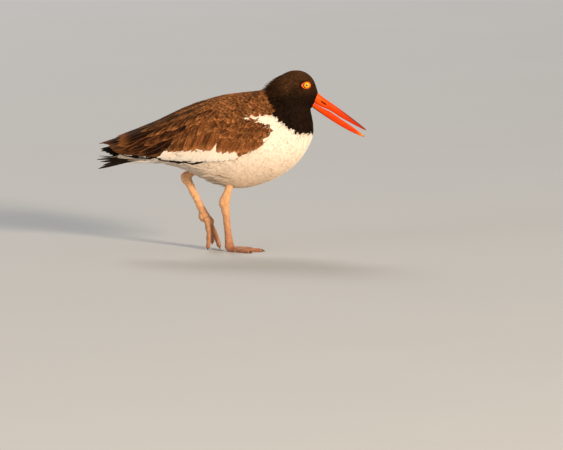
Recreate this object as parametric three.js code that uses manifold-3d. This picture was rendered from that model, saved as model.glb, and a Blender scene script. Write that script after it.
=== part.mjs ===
// An oystercatcher in mid step, life size: the right foot flat, the left one on its toe tips, the bill ajar.
// Millimetres. +X points ahead, +Y to the bird's left, +Z up, and the floor is z = 0.
import * as THREE from "three";
import { mergeVertices } from "three/addons/utils/BufferGeometryUtils.js";
import Module from "manifold-3d";

const wasm = await Module();
wasm.setup();

const GAP = 0.3; // air between two pieces that touch
const ROUNDNESS = 2.15; // 2 is an ellipse, more is boxier
const RIGHT = -1;
const LEFT = 1;

// The trunk, neck and head are one shape. Each station joins a point of the back to a point of the belly, both as
// [x, z]; half is the half width, and wide is how far up the widest level lies.
const BODY = [
  { back: [-147, 145], belly: [-147, 129], half: 14, wide: 0.5 },
  { back: [-105, 166], belly: [-105, 126.5], half: 29, wide: 0.5 },
  { back: [-66, 192], belly: [-66, 116], half: 39, wide: 0.52 },
  { back: [-27, 212.6], belly: [-25, 97.5], half: 44.6, wide: 0.55 },
  { back: [12, 223.2], belly: [13, 90], half: 47.5, wide: 0.56 },
  { back: [36, 226.6], belly: [54.7, 100.5], half: 45.5, wide: 0.54 },
  { back: [46, 228], belly: [90, 123], half: 39.5, wide: 0.5 },
  { back: [51.5, 230.5], belly: [111.5, 154.8], half: 32.5, wide: 0.48 },
  { back: [58, 238.5], belly: [115, 176], half: 26.5, wide: 0.48 },
  { back: [69, 248], belly: [112, 197], half: 22.5, wide: 0.52 },
  { back: [86, 255.5], belly: [111.8, 202], half: 21.5, wide: 0.56 },
  { back: [103, 254], belly: [112.8, 203.4], half: 20, wide: 0.54 },
  { back: [115.5, 243.5], belly: [113.6, 204], half: 15.5, wide: 0.5 },
  { back: [122.6, 224.5], belly: [114.3, 204.3], half: 6.6, wide: 0.5 },
];
const NECK_ROOT = 7; // stations where the neck and the head begin
const HEAD_ROOT = 9.2;
const BODY_SIDES = 22;
const TRUNK_STEPS = 18;
const NECK_STEPS = 7;
const HEAD_STEPS = 12;

// The folded wings lie on the flanks and roof the rump, so they have stations of their own, from the tips forward.
const WING = [
  { back: [-188, 153], belly: [-188, 149.5], half: 4, wide: 0.5 },
  { back: [-170, 159], belly: [-168, 139], half: 14, wide: 0.4 },
  { back: [-147, 167.6], belly: [-147, 133], half: 24, wide: 0.4 },
  { back: [-105, 184.2], belly: [-105, 126], half: 36.5, wide: 0.44 },
  { back: [-66, 202.8], belly: [-66, 116], half: 44.5, wide: 0.5 },
  { back: [-27, 216.6], belly: [-25, 97.5], half: 49, wide: 0.55 },
  { back: [12, 225.6], belly: [13, 90], half: 50.6, wide: 0.56 },
  { back: [36, 228], belly: [54.7, 100.5], half: 48.5, wide: 0.54 },
  { back: [46, 229], belly: [90, 123], half: 42.5, wide: 0.5 },
];
const WING_BEND_X = 59; // the wrist, which is the front of the folded wing
const WING_CORE_END_X = -158;
const WING_CORE_SINK = 1.4; // how far the wing's core lies under its vanes
const WING_MIDLINE_MM = 0.4; // how near the two wings come to the midline
// The edges of the folded wing as seen from the side, [x, z].
const WING_UPPER = [[60, 178], [48.6, 186], [34.9, 190], [18, 194], [0, 204], [-20, 216], [-44, 240]];
const WING_LOWER = [
  [60, 175], [52, 160], [35, 148], [10, 138], [-20, 129.5], [-75, 129.5], [-97, 132.5], [-120, 134], [-153, 137], [-170, 143],
  [-188, 151],
];

const EYE = { x: 106.4, z: 237.3, radius: 5.3, sunk: 3.4 };
const LID = { inner: 4.5, wide: 6.5, high: 5.4, corner: 1.2, stands: 0.8, deep: 2.2 };
const SOCKET_REACH = 6; // how far past the head's surface the socket is cut

const UPPER_BILL = [
  { back: [122.6, 224.5], belly: [116.8, 211.1], half: 6.3, wide: 0.42 },
  { back: [131.3, 217.6], belly: [125.6, 205.6], half: 5.4, wide: 0.42 },
  { back: [143, 209.4], belly: [138.8, 200.2], half: 4.2, wide: 0.4 },
  { back: [158.9, 197.9], belly: [155.2, 189.8], half: 3.1, wide: 0.4 },
  { back: [174, 186.4], belly: [171.5, 180.7], half: 2.2, wide: 0.45 },
  { back: [186, 176.9], belly: [184.4, 174], half: 1.5, wide: 0.5 },
  { back: [191.2, 172.4], belly: [190.6, 171.2], half: 0.8, wide: 0.5 },
];
const LOWER_BILL = [
  { back: [116.6, 210.6], belly: [114.4, 204.4], half: 6, wide: 0.55 },
  { back: [126.2, 204.6], belly: [123.6, 197.8], half: 5, wide: 0.6 },
  { back: [140.3, 197.6], belly: [137.2, 188.6], half: 4, wide: 0.6 },
  { back: [155.4, 187.2], belly: [152.6, 178.8], half: 3.1, wide: 0.6 },
  { back: [170.4, 177.2], belly: [168.6, 170], half: 2.3, wide: 0.55 },
  { back: [182.3, 168.4], belly: [181, 164.4], half: 1.5, wide: 0.5 },
  { back: [188.6, 163.4], belly: [188, 161.8], half: 0.8, wide: 0.5 },
];
const BILL_STAND_OFF = [0.35, -0.15]; // sets the bill a gap off the head
const BILL_SIDES = 12;
const BILL_STEPS = 12;
const NOSTRIL = { from: [127.6, 212.4], to: [133.4, 208.6], high: 1.3 };

const TAIL_FEATHERS = 12;
const TAIL = {
  rootX: -126,
  tipX: -190.5,
  rootZ: 132.6,
  tipZ: 134.8,
  droop: 12, // how much lower the outer tips hang
  layer: 0.55, // how much lower each feather lies than its inner neighbour
  rootSpread: 11,
  spread: 25,
  wide: 14,
  thick: 0.9,
};
// The root that holds the tail feathers: x, half width, half height and level.
const TAIL_CORE = [
  { x: -132, half: 17, high: 5.5, z: 132 },
  { x: -147.5, half: 15, high: 3.6, z: 131.6 },
  { x: -163, half: 12, high: 1.6, z: 131.4 },
];
const TAIL_CORE_SIDES = 12;

// Legs: the heel joint, the toe root and the direction of the shank, all as [x, z] at the leg's own y.
const LEGS = {
  right: { y: -14.5, thigh: [[12, 122], [-4.2, 88.4]], heel: [-9.8, 71.5], foot: [-3.2, 8.2] },
  left: { y: 15.5, thigh: [[-34, 130], [-56.5, 109.5]], heel: [-64.8, 103.6], foot: [-37.6, 47.2] },
};
// Half sizes along each length of the leg: fore and aft, then across.
const THIGH_HALVES = [[16, 12], [13, 10.5], [9.5, 8], [6, 5.1]];
const SHANK_HALVES = [[4.7, 3.6], [4.7, 3.6], [5.4, 4.2], [6.9, 5.2], [6.2, 4.8]];
const SHANK_SUNK = 5; // how far the shank reaches up into the thigh
const TARSUS_HALVES = [[6.4, 4.8], [6, 4.3], [5, 3.6], [4.7, 3.4], [4.7, 3.4], [4.9, 3.6], [5.4, 4.1], [5.8, 4.8]];
const FOOT_RADIUS = 5.8;
const TOE_HALF = 3.7;
const TOE_ROOT_SWELL = 1.5; // how much thicker a toe is where it leaves the foot
const TOE_STEPS = 7;
const CLAW_LONG = 6.5;
const CLAW_STEPS = [0, 0.4, 0.75, 1];
// The flat right foot: each toe's length and its turn from straight ahead, in degrees, and the left one's toe tips.
const RIGHT_TOES = {
  inner: { long: 33, turn: 26 },
  middle: { long: 44, turn: -7 },
  outer: { long: 36, turn: -41 },
};
const LEFT_TOES = {
  inner: { tip: [-33.4, 7.5, 4.6], bow: 2.2 },
  middle: { tip: [-17.6, 18.5, 4.8], bow: 1.8 },
  outer: { tip: [-27.5, 31.5, 9.5], bow: 2.6 },
};

const COLOURS = {
  hood: { color: 0x1d130d, roughness: 0.85 },
  back: { color: 0x6b4630, roughness: 0.8 },
  breast: { color: 0xf2e6d2, roughness: 0.9 },
  flight: { color: 0x17110d, roughness: 0.7 },
  bill: { color: 0xf0440a, roughness: 0.35 },
  lid: { color: 0xe8430c, roughness: 0.5 },
  eye: { color: 0xffc400, roughness: 0.08 },
  leg: { color: 0xe0a585, roughness: 0.6 },
  claw: { color: 0x2a1c15, roughness: 0.4 },
};

const bird = new THREE.Group();

function finish(name) {
  return new THREE.MeshStandardMaterial({ ...COLOURS[name], metalness: 0 });
}

function vec(x, y, z) {
  return new THREE.Vector3(x, y, z);
}

// A smooth curve through equally spaced values, read at place t.
function smooth(values, t) {
  const last = values.length - 1;
  const i = Math.max(0, Math.min(Math.floor(t), last - 1));
  const f = t - i;
  const [b, c] = [values[i], values[i + 1]];
  const a = i > 0 ? values[i - 1] : 2 * b - c;
  const d = i + 2 <= last ? values[i + 2] : 2 * c - b;
  return b + 0.5 * f * (c - a + f * (2 * a - 5 * b + 4 * c - d + f * (3 * (b - c) + d - a)));
}

// The height of a drawn edge at x. Its points run from high x to low x.
function edgeHeight(edge, x) {
  const k = Math.max(1, edge.findIndex((p) => p[0] <= x));
  const [a, b] = x < edge.at(-1)[0] ? [edge.at(-2), edge.at(-1)] : [edge[k - 1], edge[k]];
  return THREE.MathUtils.mapLinear(x, a[0], b[0], a[1], b[1]);
}

// One cross section of a shape that is given by stations: its middle, the ways to its top and bottom, its half width.
function section(stations, t, grow = 0) {
  const read = (pick) => smooth(stations.map(pick), t);
  const back = vec(read((s) => s.back[0]), 0, read((s) => s.back[1]));
  const belly = vec(read((s) => s.belly[0]), 0, read((s) => s.belly[1]));
  const out = back.clone().sub(belly).normalize().multiplyScalar(grow);
  back.add(out);
  belly.sub(out);
  const middle = belly.clone().lerp(back, read((s) => s.wide));
  return { middle, up: back.sub(middle), down: middle.clone().sub(belly), half: read((s) => s.half) + grow };
}

// A point of the section at an angle from its top, on the bird's left for LEFT.
function onSection(s, angle, side) {
  const bend = (v) => Math.sign(v) * Math.abs(v) ** (2 / ROUNDNESS);
  const rise = bend(Math.cos(angle));
  const point = s.middle.clone().addScaledVector(rise > 0 ? s.up : s.down, rise);
  point.y = side * s.half * bend(Math.sin(angle));
  return point;
}

// A closed solid from points and triangles, turned so that its faces point out.
function solid(points, faces) {
  const geometry = new THREE.BufferGeometry();
  geometry.setAttribute("position", new THREE.Float32BufferAttribute(points.flatMap((p) => p.toArray()), 3));
  geometry.setIndex(faces.flat());
  const merged = mergeVertices(geometry, 1e-4);
  const data = { numProp: 3, vertProperties: merged.attributes.position.array };
  const made = new wasm.Manifold(new wasm.Mesh({ ...data, triVerts: new Uint32Array(merged.index.array) }));
  return made.volume() > 0 ? made : solid(points, faces.map((f) => f.toReversed()));
}

// A solid through closed rings of equal length, with a fan at each end.
function loft(rings) {
  const n = rings[0].length;
  const points = rings.flat();
  const faces = [];
  for (let r = 0; r + 1 < rings.length; r++) {
    for (let k = 0; k < n; k++) {
      const [a, b] = [r * n + k, r * n + ((k + 1) % n)];
      faces.push([a, b, a + n], [b, b + n, a + n]);
    }
  }
  for (const [start, flip] of [[0, true], [(rings.length - 1) * n, false]]) {
    const middle = points.length;
    points.push(rings[start ? rings.length - 1 : 0].reduce((sum, p) => sum.add(p), vec(0, 0, 0)).divideScalar(n));
    for (let k = 0; k < n; k++) {
      const [a, b] = [start + k, start + ((k + 1) % n)];
      faces.push(flip ? [b, a, middle] : [a, b, middle]);
    }
  }
  return solid(points, faces);
}

// A length of a stationed shape, from place t0 to t1.
function stretch(stations, t0, t1, steps, sides, grow = 0) {
  const rings = [];
  for (let i = 0; i <= steps; i++) {
    const s = section(stations, THREE.MathUtils.lerp(t0, t1, i / steps), grow);
    rings.push(Array.from({ length: sides }, (_, k) => onSection(s, (2 * Math.PI * k) / sides, LEFT)));
  }
  return loft(rings);
}

// A rounded tube along a path. Each half size is [in the plane of the path, across it], and floor flattens its sole.
function tube(path, halves, { across = vec(0, 1, 0), sides = 10, grow = 0, floor = -Infinity } = {}) {
  const rings = path.map((p, i) => {
    const ahead = path[Math.min(i + 1, path.length - 1)].clone().sub(path[Math.max(i - 1, 0)]).normalize();
    const side = across.clone().addScaledVector(ahead, -across.dot(ahead)).normalize();
    const up = ahead.clone().cross(side);
    return Array.from({ length: sides }, (_, k) => {
      const angle = (2 * Math.PI * (k + 0.5)) / sides;
      const point = p.clone().addScaledVector(up, (halves[i][0] + grow) * Math.cos(angle));
      point.addScaledVector(side, (halves[i][1] + grow) * Math.sin(angle));
      point.z = p.z > floor ? Math.max(point.z, floor) : floor;
      return point;
    });
  });
  return loft(rings);
}

// A thin plate from rows of { point, normal }, split alike on both faces.
function plate(rows, thick) {
  const columns = rows[0].length;
  const count = rows.length * columns;
  const edgeShare = 0.6; // a vane is thinner at its rim than at its shaft
  const layer = (way) =>
    rows.flatMap((row, r) =>
      row.map(({ point, normal }, c) => {
        const rim = r === rows.length - 1 || c === 0 || c === columns - 1;
        return point.clone().addScaledVector(normal, (way * thick * (rim ? edgeShare : 1)) / 2);
      }),
    );
  const faces = [];
  for (let r = 0; r + 1 < rows.length; r++) {
    for (let c = 0; c + 1 < columns; c++) {
      const [a, b] = [r * columns + c, (r + 1) * columns + c];
      faces.push([a, a + 1, b], [a + 1, b + 1, b]);
      faces.push([a + count, b + count, a + 1 + count], [a + 1 + count, b + count, b + 1 + count]);
    }
  }
  const rim = [];
  for (let c = 0; c < columns; c++) rim.push(c);
  for (let r = 1; r < rows.length; r++) rim.push(r * columns + columns - 1);
  for (let c = columns - 2; c >= 0; c--) rim.push((rows.length - 1) * columns + c);
  for (let r = rows.length - 2; r > 0; r--) rim.push(r * columns);
  rim.forEach((a, i) => {
    const b = rim[(i + 1) % rim.length];
    faces.push([b, a, a + count], [b, a + count, b + count]);
  });
  return solid([...layer(1), ...layer(-1)], faces);
}

function join(pieces) {
  return wasm.Manifold.union(pieces);
}

// The solid less others, keeping its largest body.
function cut(from, ...others) {
  const left = others.reduce((rest, other) => rest.subtract(other), from);
  return left.decompose().reduce((best, body) => (body.volume() > best.volume() ? body : best));
}

function add(name, made, look) {
  const { vertProperties, triVerts } = made.getMesh();
  const geometry = new THREE.BufferGeometry();
  geometry.setAttribute("position", new THREE.BufferAttribute(vertProperties, 3));
  geometry.setIndex(new THREE.BufferAttribute(triVerts, 1));
  geometry.computeVertexNormals();
  const mesh = new THREE.Mesh(geometry, finish(look));
  mesh.name = name;
  bird.add(mesh);
}

// The place of the wing's surface at x and at share f of the way from the wing's upper edge to its lower one.
function wingPlace(x, f, side) {
  const last = WING.length - 1;
  const xAt = (t, angle) => onSection(section(WING, t), angle, side).x;
  const find = (low, high, tooLow) => {
    for (let i = 0; i < 22; i++) {
      const mid = (low + high) / 2;
      [low, high] = tooLow(mid) ? [mid, high] : [low, mid];
    }
    return low;
  };
  const angleOf = (t, z) => {
    const s = section(WING, t);
    return find(0, Math.PI, (angle) => onSection(s, angle, side).z > z);
  };
  const angleAt = (t) => {
    const nearTop = Math.asin(Math.min(1, (WING_MIDLINE_MM / section(WING, t).half) ** (ROUNDNESS / 2)));
    const high = Math.max(angleOf(t, edgeHeight(WING_UPPER, x)), nearTop);
    return THREE.MathUtils.lerp(high, Math.max(high, angleOf(t, edgeHeight(WING_LOWER, x))), f);
  };
  const t = find(0, last, (place) => xAt(place, angleAt(place)) < x);
  return surface(WING, t, angleAt(t), side);
}

// A point of a stationed shape with its outward direction.
function surface(stations, t, angle, side) {
  const at = (dt, da) => onSection(section(stations, t + dt), angle + da, side);
  const along = at(0.02, 0).sub(at(-0.02, 0));
  const round = at(0, 0.02).sub(at(0, -0.02));
  const normal = along.cross(round).normalize();
  return { point: at(0, 0), normal: normal.y * side + normal.z * 0.2 < 0 ? normal.negate() : normal };
}

const VANE_ROWS = [0, 0.45, 0.82, 1];
const VANE_WIDTHS = [0.6, 1, 0.86, 0.34];
const VANE_ROOT_SINK = 1.2; // how far a root is sunk into the core

// One feather on the folded wing: from root to tip, both as [x, f], raised by lift over the wing's own surface.
function vane(root, tip, { wide, lift, side, thick = 1, drop = 0 }) {
  const spine = VANE_ROWS.map((v) => {
    const { point, normal } = wingPlace(
      THREE.MathUtils.lerp(root[0], tip[0], v),
      THREE.MathUtils.lerp(root[1], tip[1], v),
      side,
    );
    point.addScaledVector(normal, THREE.MathUtils.lerp(-WING_CORE_SINK - VANE_ROOT_SINK, lift, v ** 0.5));
    point.z -= drop * v * v;
    return { point, normal };
  });
  const rows = spine.map(({ point, normal }, i) => {
    const next = spine[Math.min(i + 1, spine.length - 1)].point;
    const before = spine[Math.max(i - 1, 0)].point;
    const across = next.clone().sub(before).normalize().cross(normal).normalize();
    const half = (wide * VANE_WIDTHS[i]) / 2;
    const sag = (half * half) / (2 * 46);
    return [-1, 0, 1].map((c) => ({
      point: point.clone().addScaledVector(across, c * half).addScaledVector(normal, -sag * Math.abs(c)),
      normal,
    }));
  });
  return plate(rows, thick);
}

// The feather tiers of the folded wing, from the ones that lie deepest to those on top. roots and tips give the first
// and the last feather of the row, as [x, f].
const WING_TIERS = [
  { name: "primary", count: 5, roots: [[-104, 0.1], [-112, 0.6]], tips: [[-187, 0.3], [-160, 0.82]], wide: 12, lift: 0.3 },
  { name: "secondary", count: 3, roots: [[-62, 0.8], [-104, 0.74]], tips: [[-96, 0.99], [-136, 0.9]], wide: 13, lift: 0.5 },
  { name: "greater covert", count: 7, roots: [[18, 0.8], [-74, 0.78]], tips: [[2, 0.98], [-92, 0.96]], wide: 18, lift: 0.9 },
  { name: "tertial", count: 5, roots: [[-74, 0.26], [-60, 0.7]], tips: [[-167, 0.8], [-120, 0.88]], wide: 17, lift: 1.1 },
  { name: "upper tertial", count: 2, roots: [[-88, 0.06], [-84, 0.26]], tips: [[-170, 0.1], [-172, 0.5]], wide: 17, lift: 0.9 },
  { name: "median covert", count: 6, roots: [[28, 0.62], [-60, 0.62]], tips: [[10, 0.84], [-80, 0.82]], wide: 19, lift: 1.3 },
  { name: "low scapular", count: 5, roots: [[14, 0.16], [-70, 0.24]], tips: [[-16, 0.34], [-108, 0.4]], wide: 18, lift: 1.5 },
  { name: "high scapular", count: 4, roots: [[-20, 0.08], [-74, 0.1]], tips: [[-50, 0.13], [-114, 0.15]], wide: 15, lift: 1.6 },
];
const FAR_TIP_DROP = 13; // the tip of the left wing hangs lower, so that the two tips show one above the other
// The wing's body under the vanes, from the wrist to its rear end: thickness by place.
const CORE_THICK = { wrist: 7, rear: 3 };
const CORE_STEPS = 13;
const CORE_COLUMNS = 6;

function wingCore(side) {
  const rings = [];
  for (let i = 0; i <= CORE_STEPS; i++) {
    const x = THREE.MathUtils.lerp(WING_BEND_X, WING_CORE_END_X, i / CORE_STEPS);
    const thick = THREE.MathUtils.lerp(CORE_THICK.wrist, CORE_THICK.rear, i / CORE_STEPS);
    const places = Array.from({ length: CORE_COLUMNS }, (_, k) => wingPlace(x, k / (CORE_COLUMNS - 1), side));
    const face = (depth) => places.map(({ point, normal }) => point.clone().addScaledVector(normal, -depth));
    rings.push([...face(WING_CORE_SINK), ...face(thick).reverse()]);
  }
  return loft(rings);
}

// Everything on the other side of the midline, as a block that keeps the two wings apart.
function farHalf(side) {
  const reach = 400;
  const corners = [];
  for (const x of [-reach, reach]) {
    const ring = [[0, -reach], [1, -reach], [1, reach], [0, reach]];
    corners.push(ring.map(([y, z]) => vec(x, -side * reach * y + (side * GAP) / 2, z)));
  }
  return loft(corners);
}

function wing(side) {
  const vanes = WING_TIERS.flatMap(({ count, roots, tips, wide, lift, name }) => {
    const drop = side === LEFT && name === "primary" ? FAR_TIP_DROP : 0;
    const between = ([a, b], share) => a.map((value, k) => THREE.MathUtils.lerp(value, b[k], share));
    return Array.from({ length: count }, (_, i) =>
      vane(between(roots, i / (count - 1)), between(tips, i / (count - 1)), { wide, lift, side, drop }),
    );
  });
  return cut(join([wingCore(side), ...vanes]), farHalf(side));
}

function tail() {
  const feathers = Array.from({ length: TAIL_FEATHERS }, (_, i) => {
    const out = (2 * i) / (TAIL_FEATHERS - 1) - 1; // -1 is the outermost on the right
    const layer = (TAIL.layer * Math.abs(out) * TAIL_FEATHERS) / 2;
    const rows = VANE_ROWS.map((v, r) => {
      const x = THREE.MathUtils.lerp(TAIL.rootX, TAIL.tipX + 3 * out * out, v);
      const y = out * THREE.MathUtils.lerp(TAIL.rootSpread, TAIL.spread, v);
      const z = THREE.MathUtils.lerp(TAIL.rootZ, TAIL.tipZ, v) - TAIL.droop * out * out * v - layer;
      const half = (TAIL.wide * VANE_WIDTHS[r]) / 2;
      const lean = Math.atan2(-2 * TAIL.droop * out * v, TAIL.spread);
      const normal = vec(0, -Math.sin(lean), Math.cos(lean));
      const across = vec(0, Math.cos(lean), Math.sin(lean));
      return [-1, 0, 1].map((c) => ({ point: vec(x, y, z).addScaledVector(across, c * half), normal }));
    });
    return plate(rows, TAIL.thick);
  });
  const core = TAIL_CORE.map(({ x, half, high, z }) =>
    Array.from({ length: TAIL_CORE_SIDES }, (_, k) => {
      const angle = (2 * Math.PI * k) / TAIL_CORE_SIDES;
      return vec(x, half * Math.cos(angle), z + high * Math.sin(angle));
    }),
  );
  return join([...feathers, loft(core)]);
}

// The lids: a bare ring round the eye, drawn out to a corner behind it.
function lidOutline(angle, extra) {
  const corner = LID.corner * Math.max(0, -Math.cos(angle)) ** 8;
  return [(LID.wide + corner + extra) * Math.cos(angle), (LID.high + extra) * Math.sin(angle)];
}

// The place of the head's surface where the eye sits.
function eyePlace(side) {
  const places = [];
  for (let t = HEAD_ROOT; t < BODY.length - 1; t += 0.02) {
    const s = section(BODY, t);
    for (let angle = 0.4; angle < 2.4; angle += 0.02) {
      const p = onSection(s, angle, side);
      places.push({ t, angle, off: Math.hypot(p.x - EYE.x, p.z - EYE.z) });
    }
  }
  const best = places.reduce((nearest, place) => (place.off < nearest.off ? place : nearest));
  return surface(BODY, best.t, best.angle, side);
}

// Rings round the eye, which lie at height y over the head's slope there.
function lidRings(side, { point, normal }, rows, sides = 16) {
  return rows.map(({ extra = 0, y, inner = 0 }) =>
    Array.from({ length: sides }, (_, k) => {
      const angle = (2 * Math.PI * k) / sides;
      const [x, z] = inner ? [inner * Math.cos(angle), inner * Math.sin(angle)] : lidOutline(angle, extra);
      return vec(EYE.x + x, point.y + side * y - (normal.x * x + normal.z * z) / normal.y, EYE.z + z);
    }),
  );
}

function closedRing(rings) {
  const n = rings[0].length;
  const faces = [];
  rings.forEach((_, r) => {
    const next = ((r + 1) % rings.length) * n;
    for (let k = 0; k < n; k++) {
      const [a, b] = [r * n + k, r * n + ((k + 1) % n)];
      const [c, d] = [next + k, next + ((k + 1) % n)];
      faces.push([a, b, c], [b, d, c]);
    }
  });
  return solid(rings.flat(), faces);
}

function ball(centre, radius) {
  const geometry = new THREE.SphereGeometry(radius, 14, 9);
  geometry.rotateX(Math.PI / 2);
  geometry.translate(centre.x, centre.y, centre.z);
  geometry.deleteAttribute("normal");
  geometry.deleteAttribute("uv");
  const merged = mergeVertices(geometry, 1e-4);
  const data = { numProp: 3, vertProperties: merged.attributes.position.array };
  return new wasm.Manifold(new wasm.Mesh({ ...data, triVerts: new Uint32Array(merged.index.array) }));
}

function head() {
  let made = stretch(BODY, HEAD_ROOT, BODY.length - 1, HEAD_STEPS, BODY_SIDES);
  for (const [name, side] of [["right", RIGHT], ["left", LEFT]]) {
    const skin = eyePlace(side);
    const centre = vec(EYE.x, skin.point.y - side * EYE.sunk, EYE.z);
    const socket = loft(lidRings(side, skin, [{ extra: GAP, y: -LID.deep - GAP }, { extra: GAP, y: SOCKET_REACH }]));
    made = cut(made, socket, ball(centre, EYE.radius + GAP));
    const rings = lidRings(side, skin, [
      { y: -LID.deep },
      { y: 0 },
      { extra: -0.9, y: LID.stands },
      { inner: LID.inner, y: LID.stands * 0.6 },
      { inner: LID.inner, y: -LID.deep },
    ]);
    add(`lids_${name}`, cut(closedRing(rings), ball(centre, EYE.radius + GAP)), "lid");
    add(`eye_${name}`, ball(centre, EYE.radius), "eye");
  }
  return made;
}

// Both halves of the bill, standing a gap off the head's front face.
function bill() {
  const moved = ([x, z]) => [x + BILL_STAND_OFF[0], z + BILL_STAND_OFF[1]];
  const root = (stations) => stations.map((s) => ({ ...s, back: moved(s.back), belly: moved(s.belly) }));
  const [a, b] = [NOSTRIL.from, NOSTRIL.to];
  const slot = [-9, 9].map((y) => {
    const along = vec(b[0] - a[0], 0, b[1] - a[1]).normalize();
    const across = vec(-along.z, 0, along.x).multiplyScalar(NOSTRIL.high / 2);
    const [p, q] = [vec(a[0], y, a[1]), vec(b[0], y, b[1])];
    return [p.clone().add(across), p.clone().sub(across), q.clone().sub(across), q.clone().add(across)];
  });
  add("bill_upper", cut(stretch(root(UPPER_BILL), 0, UPPER_BILL.length - 1, BILL_STEPS, BILL_SIDES), loft(slot)), "bill");
  add("bill_lower", stretch(root(LOWER_BILL), 0, LOWER_BILL.length - 1, BILL_STEPS, BILL_SIDES), "bill");
}

// A path with a gentle bow, given its ends.
function bowed(from, to, bow, steps) {
  return Array.from({ length: steps + 1 }, (_, i) => {
    const v = i / steps;
    const p = from.clone().lerp(to, v);
    p.x += bow * 4 * v * (1 - v);
    return p;
  });
}

function legLine(side, from, to, steps) {
  return bowed(vec(from[0], side, from[1]), vec(to[0], side, to[1]), 0, steps);
}

// Swelling at a toe's joints, by place along the toe.
function toeHalf(v) {
  const swell = TOE_ROOT_SWELL * Math.max(0, 1 - v / 0.4) ** 2;
  return TOE_HALF * (1 - 0.3 * v + 0.06 * Math.cos(6 * Math.PI * v)) + swell;
}

function toePath(leg, name, toe, isFlat) {
  const root = vec(leg.foot[0], leg.y, leg.foot[1]);
  if (!isFlat) {
    const side = { inner: -4, middle: 0, outer: 4 }[name];
    const from = root.clone().add(vec(1.5, side * 0.6, -2));
    return bowed(from, vec(...toe.tip), toe.bow, TOE_STEPS);
  }
  const turn = THREE.MathUtils.degToRad(toe.turn);
  return Array.from({ length: TOE_STEPS + 1 }, (_, i) => {
    const v = i / TOE_STEPS;
    const reach = 1 + toe.long * v;
    const high = Math.max(TOE_HALF * (1 - 0.34 * v) - 0.5, (root.z - 3) * (1 - v * 4));
    return vec(root.x + reach * Math.cos(turn), root.y + reach * Math.sin(turn), high);
  });
}

function toeSolid(path, grow) {
  const halves = path.map((_, i) => Array(2).fill(toeHalf(i / (path.length - 1))));
  return tube(path, halves, { across: sideways(path), sides: 8, grow, floor: 0 });
}

function sideways(path) {
  const along = path.at(-1).clone().sub(path[0]);
  return Math.abs(along.z) > Math.hypot(along.x, along.y) ? vec(0, 1, 0) : vec(-along.y, along.x, 0).normalize();
}

// The height of a claw's tip on the lifted foot. A toe that hangs low sets its claw on the floor.
function clawEnd(rootHeight) {
  return rootHeight < CLAW_LONG ? 0 : rootHeight - CLAW_LONG * 0.7;
}

function clawSolid(path, isFlat, grow) {
  const tip = path.at(-1);
  const ahead = tip.clone().sub(path.at(-2)).normalize();
  const root = tip.clone().addScaledVector(ahead, GAP - grow);
  const line = CLAW_STEPS.map((v) => {
    const p = root.clone().addScaledVector(ahead, CLAW_LONG * v * (isFlat ? 1 : 0.7));
    p.z = isFlat ? Math.max(p.z + 0.6 - 1.2 * v * v, 0.55) : THREE.MathUtils.lerp(root.z, clawEnd(root.z), v);
    return p;
  });
  const halves = CLAW_STEPS.map((v) => [2.1 * (1 - 0.72 * v), 1.8 * (1 - 0.72 * v)]);
  return tube(line, halves, { across: sideways(path), sides: 8, grow, floor: 0 });
}

function legs(trunk) {
  for (const [name, leg] of Object.entries(LEGS)) {
    const isFlat = name === "right";
    const [thighTop, thighEnd] = leg.thigh;
    const thigh = (grow) => tube(legLine(leg.y, thighTop, thighEnd, 3), THIGH_HALVES, { sides: 12, grow });
    const shankLine = legLine(leg.y, thighEnd, leg.heel, 3);
    const ahead = shankLine[3].clone().sub(shankLine[0]).normalize();
    shankLine.unshift(shankLine[0].clone().addScaledVector(ahead, -SHANK_SUNK));
    const shank = (grow) => tube(shankLine, SHANK_HALVES, { sides: 10, grow });
    const tarsusLine = legLine(leg.y, leg.heel, leg.foot, TARSUS_HALVES.length - 1);
    const tarsus = (grow) => {
      const body = tube(tarsusLine, TARSUS_HALVES, { sides: 10, grow });
      return join([body, ball(vec(leg.foot[0], leg.y, leg.foot[1]), FOOT_RADIUS + grow)]);
    };
    add(`thigh_${name}`, cut(thigh(0), trunk, shank(GAP)), "breast");
    add(`shank_${name}`, cut(shank(0), trunk), "leg");
    add(`tarsus_${name}`, cut(tarsus(0), shank(GAP)), "leg");
    const done = [tarsus(GAP)];
    for (const [toeName, toe] of Object.entries(isFlat ? RIGHT_TOES : LEFT_TOES)) {
      const path = toePath(leg, toeName, toe, isFlat);
      add(`toe_${toeName}_${name}`, cut(toeSolid(path, 0), ...done), "leg");
      add(`claw_${toeName}_${name}`, cut(clawSolid(path, isFlat, 0), toeSolid(path, GAP)), "claw");
      done.push(toeSolid(path, GAP));
    }
  }
}

const trunk = (grow) => stretch(BODY, 0, NECK_ROOT, TRUNK_STEPS, BODY_SIDES, grow);
const cleft = 0.0035; // half the gap at the neck's ends, as a share of a station
const feathers = { right: wing(RIGHT), left: wing(LEFT) };
add("torso", trunk(0), "breast");
add("neck", stretch(BODY, NECK_ROOT + 2 * cleft, HEAD_ROOT - 4 * cleft, NECK_STEPS, BODY_SIDES), "hood");
add("head", head(), "hood");
bill();
add("wing_right", cut(feathers.right, trunk(GAP)), "back");
add("wing_left", cut(feathers.left, trunk(GAP)), "back");
add("tail", cut(tail(), trunk(GAP)), "flight");
legs(trunk(GAP));

export default bird;
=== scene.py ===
"""An oystercatcher in mid step, life size: skin, feather coat, flight feathers, bill, eyes and legs."""

import math
from collections import namedtuple

import bpy
import numpy as np
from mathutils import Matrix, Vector, kdtree


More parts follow.
